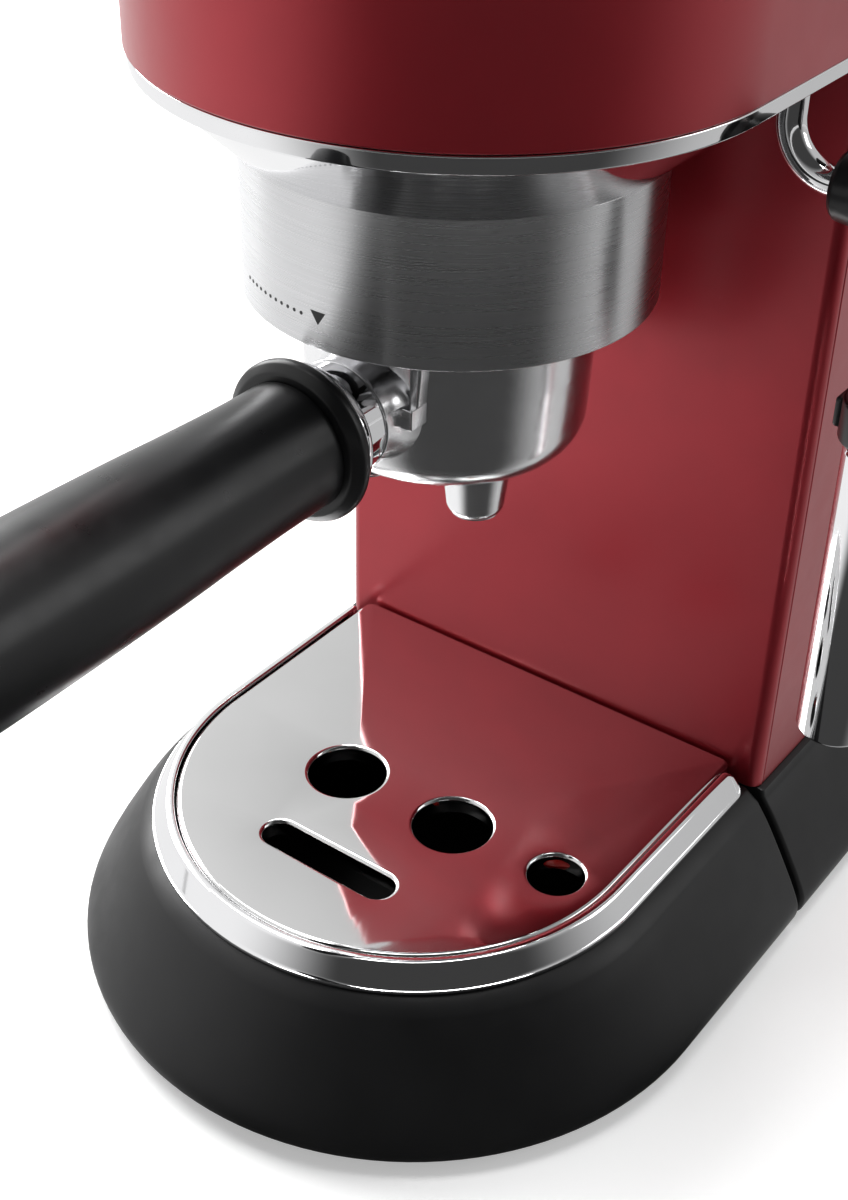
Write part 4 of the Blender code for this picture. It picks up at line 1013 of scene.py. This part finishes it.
def wand_sleeve():
    """The bright outer sleeve and the steam nozzle inside it."""
    low, high = span("steam_sleeve")
    x, y = middle("steam_sleeve").xy
    outer, bore = high.x - x, 5.2
    sleeve = fillet([(outer - 0.3, high.z, 0.3), (outer, high.z - 0.8, 0.4), (outer, low.z + 0.2, 0.9),
                     (outer - 1.2, low.z, 0.6), (bore, low.z + 0.3, 0.4), (bore, high.z, 0.1)])
    piece("wand_sleeve_tube", turned(sleeve, centre=(x, y, 0), steps=SMALL_TURN), CHROME, "steam_sleeve",
          sharp=40)
    low, high = span("steam_nozzle")
    radius = high.x - x
    nozzle = fillet([(0, high.z, 0), (radius, high.z, 0.3), (radius, low.z + 3.0, 1.0), (2.6, low.z, 0.5),
                     (0.7, low.z, 0.15), (0.7, low.z + 3.0, 0.1), (0, low.z + 3.0, 0)], closed=False)
    piece("wand_nozzle_tip", turned(nozzle, centre=(x, y, 0), steps=SMALL_TURN), PLAIN_STEEL,
          "steam_nozzle", sharp=40)


def steam_knob():
    """The round knob: a ribbed rim, a shallow dished face and a white pointer."""
    low, high = span("steam_knob")
    y, z = middle("steam_knob").yz
    radius = high.y - y
    face = high.x - 1.0
    profile = fillet([(0, face - 0.5, 0), (radius - 5.0, face - 0.4, 6.0), (radius - 3.0, face + 0.2, 0.6),
                      (radius - 1.6, face - 1.4, 1.2), (radius - 0.5, low.x + 2.0, 1.0),
                      (radius - 0.9, low.x, 0.4),
                      (3.4, low.x, 0.2), (3.4, low.x + 10.8, 0.2), (0, low.x + 10.8, 0)], closed=False)
    knob = turned(profile, "X", (0, y, z), 2 * TURN)
    ribs = 36
    grip_low, grip_high = low.x + 2.5, face - 2.5
    for vertex in knob.verts:
        across, up = vertex.co.y - y, vertex.co.z - z
        distance = math.hypot(across, up)
        if distance > radius - 2.2 and grip_low < vertex.co.x < grip_high + 1.2:
            sink = 0.35 * (0.5 + 0.5 * math.cos(ribs * math.atan2(up, across)))
            vertex.co.y -= across / distance * sink
            vertex.co.z -= up / distance * sink
    piece("steam_knob_dial", knob, GRIP_BLACK, "steam_knob", sharp=40)

    pointer = stacked(box_outline(0, 0, 0.8, 4.2, 0.7), [(0, 0), (0, 1.3), (-0.2, 1.5)])
    pointer.transform(Matrix.Translation((face - 1.0, y, z + 10.4)) @ Matrix.Rotation(math.radians(90), 4,
                                                                                      "Y")
                      @ Matrix.Rotation(math.radians(90), 4, "Z"))
    piece("steam_knob_pointer", pointer, PRINT_WHITE, body="knob", sharp=40)


# ---------------------------------------------------------------- top, buttons and cup warmer


def top_cover():
    """The gloss black top with the pocket of the cup warmer and three button holes."""
    low, high = span("top_cover")
    plate_low, plate_high = span("cup_plate")
    plate = middle("cup_plate")
    half_x, half_y = (plate_high.x - plate_low.x) / 2 + GAP, (plate_high.y - plate_low.y) / 2 + GAP
    outline = front_outline(high.x, HEAD_CENTRE_Y, high.y, 1.5)
    cover = slab(outline, low.z, high.z, 0.9, 0.2)
    pocket = stacked(box_outline(plate.x, plate.y, half_x, half_y, 8.0),
                     [(0, plate_low.z - GAP), (0, high.z + 8.0)])
    cover = cut(cover, pocket)
    for node in ("button_one", "button_two", "button_steam"):
        x, y = middle(node).xy
        hole = turned([(0, low.z - 4), (8.3, low.z - 4), (8.3, high.z + 4), (0, high.z + 4)],
                      centre=(x, y, 0),
                      steps=SMALL_TURN)
        cover = cut(cover, hole)
    piece("top_cover_panel", cover, GLOSS_BLACK, "top_cover", bevel=0.25)


def cup_plate():
    """The pressed steel warming plate with its row of slots and rounded edge."""
    low, high = span("cup_plate")
    x, y = middle("cup_plate").xy
    half_x, half_y = (high.x - low.x) / 2, (high.y - low.y) / 2
    slots, pitch, first, half_slot, radius = 8, 18.0, 30.0, 36.0, 2.0
    lip = 0.9
    wall = 1.2
    bm = bmesh.new()
    outline = box_outline(x, y, half_x, half_y, 7.7)
    side = [(-wall - 0.5, high.z - wall), (-wall, high.z - wall - 0.5), (-wall, low.z), (0, low.z)]
    side += arc(-1.1, high.z - 1.1, 1.1, 0, 90, 6)
    border = skin(bm, [ring_at(outline, offset, height) for offset, height in side], caps=False)
    under_edges, top_edges = loop_edges(border[0]), loop_edges(border[-1])
    for k in range(slots):
        stations = capsule_outline(0, first + pitch * k, half_slot + lip, radius + lip)
        rows = skin(bm, [ring_at(stations, offset, height)
                         for offset, height in lip_profile(lip, 2.6, high.z, wall)],
                    caps=False)
        top_edges += loop_edges(rows[0])
        under_edges += loop_edges(rows[-1])
    bmesh.ops.triangle_fill(bm, use_beauty=True, use_dissolve=False, edges=top_edges)
    bmesh.ops.triangle_fill(bm, use_beauty=True, use_dissolve=False, edges=under_edges)
    piece("cup_warmer_plate", outward(bm), PLAIN_STEEL, "cup_plate", sharp=40)


def cup_icon(x, y, top, scale=1.0):
    """A plain cup seen from the side, as flat shapes."""
    film = 0.05
    shapes = [
        fillet([(-2.0, 1.4, 0.1), (-1.6, -1.4, 0.6), (1.6, -1.4, 0.6), (2.0, 1.4, 0.1)], steps=4),
        fillet([(-2.4, -2.0, 0.1), (2.4, -2.0, 0.1), (2.4, -2.4, 0.1), (-2.4, -2.4, 0.1)], steps=2),
    ]
    handle = arc(2.1, 0.2, 1.0, -100, 100, 10) + arc(2.1, 0.2, 0.6, 100, -100, 10)
    shapes.append(handle)
    bm = bmesh.new()
    for shape in shapes:
        skin(bm, [[(x + u * scale, y + v * scale, z) for u, v in shape] for z in (top - film, top + film)])
    return outward(bm)


def steam_icon(x, y, top):
    """Three rising wisps."""
    film, half = 0.05, 0.28
    bm = bmesh.new()
    for column in (-1.7, 0.0, 1.7):
        steps = 14
        spine = [(column + 0.45 * math.sin(math.tau * k / steps), -2.2 + 4.4 * k / steps)
                 for k in range(steps + 1)]
        shape = [(u - half, v) for u, v in spine] + [(u + half, v) for u, v in reversed(spine)]
        skin(bm, [[(x + u, y + v, z) for u, v in shape] for z in (top - film, top + film)])
    return outward(bm)


def buttons():
    """Three round keys with a chrome-thin lip, a dished top and a printed sign."""
    signs = {"button_one": "one", "button_two": "two", "button_steam": "steam"}
    for node, sign in signs.items():
        low, high = span(node)
        x, y = middle(node).xy
        flange = high.x - x
        radius = 7.9
        dish = high.z - 0.35
        profile = fillet([(0, dish, 0), (radius - 2.2, dish + 0.05, 5.0), (radius - 1.1, high.z, 0.5),
                          (radius, high.z - 0.9, 0.6), (radius, low.z + 1.4, 0.2),
                          (flange, low.z + 1.4, 0.2),
                          (flange, low.z, 0.2), (0, low.z, 0)], closed=False)
        piece(f"{node}_key", turned(profile, centre=(x, y, 0), steps=SMALL_TURN), GLOSS_BLACK, node,
              sharp=40)
        body = frame["nodes"][node]["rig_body"]
        print_z = dish + 0.02
        if sign == "one":
            mark = cup_icon(x - 0.3, y + 0.4, print_z)
        elif sign == "two":
            mark = joined(cup_icon(x - 3.1, y + 0.3, print_z, 0.72),
                          cup_icon(x + 1.9, y + 0.3, print_z, 0.72))
        else:
            mark = steam_icon(x, y, print_z)
        piece(f"{node}_sign", mark, PRINT_WHITE, body=body)


# ---------------------------------------------------------------- water tank and rear


def tank_outline(grow=0.0):
    """The tank's rectangle with rounded corners."""
    low, high = span("water_tank")
    x, y = middle("water_tank").xy
    return box_outline(x, y, (high.x - low.x) / 2 + grow, (high.y - low.y) / 2 + grow, 6.7 + grow, QUARTER)


def water_tank():
    """The smoked tank: a moulded shell with a level window's ribs and a valve hole below."""
    low, high = span("water_tank")
    wall = 2.5
    outline = tank_outline()
    rings = [ring_at(outline, -wall - 2.0, low.z + wall), ring_at(outline, -wall - 0.5, low.z + wall + 0.6),
             ring_at(outline, -wall, low.z + wall + 2.2), ring_at(outline, -wall, high.z - 0.3),
             ring_at(outline, -wall + 0.4, high.z), ring_at(outline, -0.5, high.z),
             ring_at(outline, 0, high.z - 0.5)]
    rings += [ring_at(outline, offset, z) for offset, z in reversed(arc(-2.0, low.z + 2.0, 2.0, -90, 0, 6))]
    bm = bmesh.new()
    skin(bm, rings)
    seat = middle("tank_valve")
    hole = turned([(0, 30), (6.1, 30), (6.1, 40), (0, 40)], centre=(seat.x, seat.y, 0), steps=SMALL_TURN)
    piece("water_tank_shell", cut(outward(bm), hole), SMOKE, "water_tank", sharp=35)

    mark_y = high.y
    bm = bmesh.new()
    levels, first, pitch = 6, 60.0, 38.0
    for k in range(levels):
        long_mark = 9.0 if k in (0, levels - 1) else 5.0
        z = low.z + first + pitch * (k - 1) + 20.0
        section = fillet([(34.0, z - 0.35, 0.2), (34.0 + long_mark, z - 0.35, 0.2),
                          (34.0 + long_mark, z + 0.35, 0.2),
                          (34.0, z + 0.35, 0.2)], steps=3)
        skin(bm, [[(u, y, v) for u, v in section] for y in (mark_y - 0.1, mark_y + 0.15)])
    piece("tank_level_marks", outward(bm), PRINT_WHITE, body="tank")


def tank_lid():
    """The gloss lid with a finger scoop along its back edge."""
    low, high = span("tank_lid")
    outline = tank_outline(-0.3)
    lid = slab(outline, low.z, high.z, 1.4, 0.3)
    x = middle("tank_lid").x
    scoop = turned([(0, -15.0), (3.2, -13.0), (4.0, -9.0), (4.0, 9.0), (3.2, 13.0), (0, 15.0)], "X",
                   (x, high.y + 1.2, low.z - 1.4), SMALL_TURN)
    piece("tank_lid_panel", cut(lid, scoop), GLOSS_BLACK, "tank_lid", sharp=35)


def power_switch():
    """The rocker and its printed marks."""
    low, high = span("power_switch")
    x, z = middle("power_switch").xz
    half_x, half_z = (high.x - low.x) / 2, (high.z - low.z) / 2
    outline = box_outline(0, 0, half_x, half_z, 0.8)
    deep = high.y - low.y
    rocker = stacked(outline, [(-0.3, 0), (0, 0.3), (0, deep - 1.2), (-0.5, deep - 0.7)])
    for vertex in rocker.verts:
        if vertex.co.z > deep - 2.0:
            vertex.co.z += 0.7 * (abs(vertex.co.x) / half_x) ** 2 - 0.05
    rocker.transform(Matrix.Translation((x, low.y, z)) @ Matrix.Rotation(math.radians(-90), 4, "X"))
    piece("power_rocker", rocker, GLOSS_BLACK, "power_switch", sharp=40)

    marks = bmesh.new()
    bar = fillet([(-5.6, -1.4, 0.15), (-5.1, -1.4, 0.15), (-5.1, 1.4, 0.15), (-5.6, 1.4, 0.15)], steps=3)
    ring = arc(5.0, 0, 1.5, 0, 345, 23)
    hole = arc(5.0, 0, 1.0, 0, 345, 23)
    face_y = high.y
    skin(marks, [[(x + u, face_y - d, z + v) for u, v in bar] for d in (0.5, 0.25)])
    skin(marks, [[(x + u, face_y - d, z + v) for u, v in shape]
                 for shape, d in ((ring, 0.5), (ring, 0.25), (hole, 0.25), (hole, 0.5))], loop=True)
    piece("power_marks", outward(marks), PRINT_WHITE, body="rocker")


def cord_gland():
    """The ribbed gland that the lead would pass through; no lead is modelled."""
    low, high = span("cord_gland")
    x, z = middle("cord_gland").xz
    outer = high.x - x
    bore = 2.9
    start, end = low.y, high.y
    points = [(bore, start, 0.1), (5.6, start, 0.3), (5.6, end - 7.0, 0.2), (outer, end - 7.0, 0.3),
              (outer, end - 5.6, 0.3)]
    ribs = 3
    for k in range(ribs):
        rib_y = end - 5.0 + 1.5 * k
        points += [(4.6 - 0.2 * k, rib_y, 0.2), (4.6 - 0.2 * k, rib_y + 0.4, 0.2),
                   (5.4 - 0.3 * k, rib_y + 0.6, 0.2),
                   (5.4 - 0.3 * k, rib_y + 1.2, 0.2)]
    points += [(4.0, end, 0.3), (bore, end, 0.3)]
    piece("cord_gland_boot", turned(fillet(points, steps=3), "Y", (x, 0, z), SMALL_TURN), RUBBER,
          "cord_gland", sharp=40)


# ---------------------------------------------------------------- parts inside the machine


def inner_parts():
    """Sub-parts that keep their CAD shape, each with its finished material."""
    dress(PLAIN_STEEL, "filter_basket", "shower_screen", "screen_screw", "thermal_cutout")
    dress(ALUMINIUM, "group_body", "bayonet_ring", "thermoblock", "inner_frame", "steam_pipe")
    dress(BRASS, "steam_valve", "knob_shaft")
    dress(RUBBER, "group_gasket", "tank_seat", "pump_mount_lower", "pump_mount_upper", "tank_valve")
    dress(SILICONE, "inlet_hose", "pressure_hose")
    dress(SATIN_BLACK, "bottom_plate", "vibration_pump")
    dress(BOARD, "control_board", "button_board")


# ---------------------------------------------------------------- studio

CAMERA_PLACE = (183.38, -260.65, 305.13)    # millimetres, group frame
CAMERA_AZIMUTH = 35.76                      # degrees, round to the right of the front
CAMERA_PITCH = 34.54                        # degrees below level
CAMERA_ROLL = 1.38
CAMERA_LENS = 54.71                         # millimetres, for a 36 mm long side

# What bright metal reflects: a large pale wall to the left, a dim wall behind, and an unlit side.
KEY_SIDE = -75          # degrees round to the right of the front
KEY_LEVEL = 0.95
BACK_SIDE = 165
BACK_LEVEL = 0.5
UNLIT_LEVEL = 0.05
WALL_EDGE = 85          # degrees from a wall's middle to where it ends, and to where it is full
WALL_FULL = 35
BACKDROP_LEVEL = 0.93   # the walls as the camera sees them
FILL_LEVEL = 0.22       # the walls as matt surfaces see them
FLOOR_GREY = 0.80
FLOOR_GLOW = 0.38


def smooth_share(tree, value, low, high):
    """0 below low and 1 above high, with a soft step between them."""
    share = tree.nodes.new("ShaderNodeMapRange")
    share.interpolation_type = "SMOOTHSTEP"
    share.inputs["From Min"].default_value = low
    share.inputs["From Max"].default_value = high
    tree.links.new(value, share.inputs["Value"])
    return share


def wall_level(tree, heading, side, level, added):
    """The brightness of a soft-edged wall on one side, on top of an added level."""
    turn = math.radians(side)
    facing = tree.nodes.new("ShaderNodeVectorMath")
    facing.operation = "DOT_PRODUCT"
    facing.inputs[1].default_value = (math.sin(turn), -math.cos(turn), 0.0)
    tree.links.new(heading, facing.inputs[0])
    edge, full = (math.cos(math.radians(angle)) for angle in (WALL_EDGE, WALL_FULL))
    share = smooth_share(tree, facing.outputs["Value"], edge, full)
    share.inputs["To Min"].default_value = added
    share.inputs["To Max"].default_value = added + level
    return share.outputs["Result"]


def studio_level(tree, vector):
    """The studio's brightness in a direction, the same at every height."""
    flat = tree.nodes.new("ShaderNodeVectorMath")
    flat.operation = "MULTIPLY"
    flat.inputs[1].default_value = (1.0, 1.0, 0.0)
    tree.links.new(vector, flat.inputs[0])
    heading = tree.nodes.new("ShaderNodeVectorMath")
    heading.operation = "NORMALIZE"
    tree.links.new(flat.outputs["Vector"], heading.inputs[0])
    total = tree.nodes.new("ShaderNodeMath")
    total.operation = "ADD"
    tree.links.new(wall_level(tree, heading.outputs["Vector"], KEY_SIDE, KEY_LEVEL, UNLIT_LEVEL),
                   total.inputs[0])
    tree.links.new(wall_level(tree, heading.outputs["Vector"], BACK_SIDE, BACK_LEVEL, 0.0), total.inputs[1])
    return total.outputs["Value"]


def floor():
    """A pale floor, brightened a little so that it stays white away from the machine."""
    reach = 4.0
    bm = bmesh.new()
    bmesh.ops.create_grid(bm, x_segments=8, y_segments=8, size=reach)
    mesh = bpy.data.meshes.new("studio_floor")
    bm.to_mesh(mesh)
    bm.free()
    material = bpy.data.materials.new("studio_floor")
    material.use_nodes = True
    shader = material.node_tree.nodes["Principled BSDF"]
    shader.inputs["Base Color"].default_value = (*[FLOOR_GREY] * 3, 1.0)
    shader.inputs["Roughness"].default_value = 0.9
    shader.inputs["Specular IOR Level"].default_value = 0.1
    shader.inputs["Emission Color"].default_value = (1.0, 1.0, 1.0, 1.0)
    shader.inputs["Emission Strength"].default_value = FLOOR_GLOW
    mesh.materials.append(material)
    obj = bpy.data.objects.new("studio_floor", mesh)
    bpy.context.scene.collection.objects.link(obj)


def floor_card():
    """What the floor shows in reflections: the walls carried on over it."""
    inner, outer, height = 0.02, 1.6, 0.001
    centre = to_world((0, 0, 0))
    bm = bmesh.new()
    rings = [[(centre.x + r * math.sin(a), centre.y - r * math.cos(a), height)
              for a in (math.tau * k / TURN for k in range(TURN))] for r in (inner, 0.1, 0.3, 0.8, outer)]
    skin(bm, rings, caps=False)
    mesh = bpy.data.meshes.new("floor_card")
    bm.to_mesh(mesh)
    bm.free()
    material = bpy.data.materials.new("floor_card")
    material.use_nodes = True
    tree = material.node_tree
    tree.nodes.clear()
    place = tree.nodes.new("ShaderNodeTexCoord")
    centred = tree.nodes.new("ShaderNodeVectorMath")
    centred.operation = "SUBTRACT"
    centred.inputs[1].default_value = centre
    tree.links.new(place.outputs["Object"], centred.inputs[0])
    glow = tree.nodes.new("ShaderNodeEmission")
    tree.links.new(studio_level(tree, centred.outputs["Vector"]), glow.inputs["Color"])
    output = tree.nodes.new("ShaderNodeOutputMaterial")
    tree.links.new(glow.outputs["Emission"], output.inputs["Surface"])
    mesh.materials.append(material)
    obj = bpy.data.objects.new("floor_card", mesh)
    bpy.context.scene.collection.objects.link(obj)
    obj.visible_camera = False
    obj.visible_diffuse = False
    obj.visible_shadow = False
    obj.visible_transmission = False


def studio_world():
    """The studio's walls: pale to the eye, uneven in reflections, and a soft even fill for the rest."""
    world = bpy.data.worlds.new("studio")
    bpy.context.scene.world = world
    world.use_nodes = True
    tree = world.node_tree
    tree.nodes.clear()
    place = tree.nodes.new("ShaderNodeTexCoord")
    rays = tree.nodes.new("ShaderNodeLightPath")
    output = tree.nodes.new("ShaderNodeOutputWorld")

    def background(level):
        node = tree.nodes.new("ShaderNodeBackground")
        node.inputs["Color"].default_value = (level, level, level, 1.0)
        return node

    def choose(ray, otherwise, chosen):
        node = tree.nodes.new("ShaderNodeMixShader")
        tree.links.new(rays.outputs[ray], node.inputs["Fac"])
        tree.links.new(otherwise.outputs[0], node.inputs[1])
        tree.links.new(chosen.outputs[0], node.inputs[2])
        return node

    reflected = background(1.0)
    tree.links.new(studio_level(tree, place.outputs["Generated"]), reflected.inputs["Color"])
    shade = choose("Is Glossy Ray", background(FILL_LEVEL), reflected)
    tree.links.new(choose("Is Camera Ray", shade, background(BACKDROP_LEVEL)).outputs[0],
                   output.inputs["Surface"])


def softbox(name, place, target, size, power, visible=True):
    """A soft area light at place, in metres from the group, facing target."""
    data = bpy.data.lights.new(name, "AREA")
    data.shape = "RECTANGLE"
    data.size, data.size_y = size
    data.energy = power
    light = bpy.data.objects.new(name, data)
    light.location = ORIGIN + Vector(place)
    aim = ORIGIN + Vector(target) - light.location
    light.rotation_euler = aim.to_track_quat("-Z", "Y").to_euler()
    light.visible_glossy = visible
    bpy.context.scene.collection.objects.link(light)


def lights():
    """Overhead box, large box to the left, smaller ones behind and to the right."""
    softbox("overhead_box", (-0.20, 0.20, 1.3), (0, 0, 0.1), (1.0, 1.0), 24)
    softbox("left_box", (-1.15, 0.15, 0.70), (0, 0, 0.12), (0.9, 0.9), 20)
    softbox("right_box", (1.1, 0.75, 0.7), (0, 0.05, 0.12), (0.6, 0.7), 2.5)


def camera():
    """The view from the right front, looking down at the group."""
    azimuth, pitch, roll = (math.radians(a) for a in (CAMERA_AZIMUTH, CAMERA_PITCH, CAMERA_ROLL))
    back = Vector((math.sin(azimuth) * math.cos(pitch), -math.cos(azimuth) * math.cos(pitch),
                   math.sin(pitch)))
    right = Vector((math.cos(azimuth), math.sin(azimuth), 0))
    up = back.cross(right)
    right_rolled = right * math.cos(roll) + up * math.sin(roll)
    up_rolled = up * math.cos(roll) - right * math.sin(roll)
    data = bpy.data.cameras.new("camera")
    data.sensor_width = 36
    data.lens = CAMERA_LENS
    data.clip_start = 0.01
    view = bpy.data.objects.new("camera", data)
    bpy.context.scene.collection.objects.link(view)
    axes = Matrix((right_rolled, up_rolled, back)).transposed()
    view.matrix_world = Matrix.Translation(to_world(CAMERA_PLACE)) @ axes.to_4x4()
    bpy.context.scene.camera = view


def build():
    head_cover()
    column_panel()
    trim_ring()
    head_underside()
    group_skirt()
    skirt_marks()
    portafilter_body()
    spout("spout_left")
    spout("spout_right")
    handle()
    base_chassis()
    drip_tray()
    tray_rim()
    cup_grille()
    float_indicator()
    feet()
    steam_tube()
    swivel()
    wand_grip()
    froth_selector()
    wand_sleeve()
    steam_knob()
    top_cover()
    cup_plate()
    buttons()
    water_tank()
    tank_lid()
    power_switch()
    cord_gland()
    inner_parts()


build()
floor()
floor_card()
studio_world()
lights()
camera()
bpy.context.scene.view_settings.view_transform = "Standard"
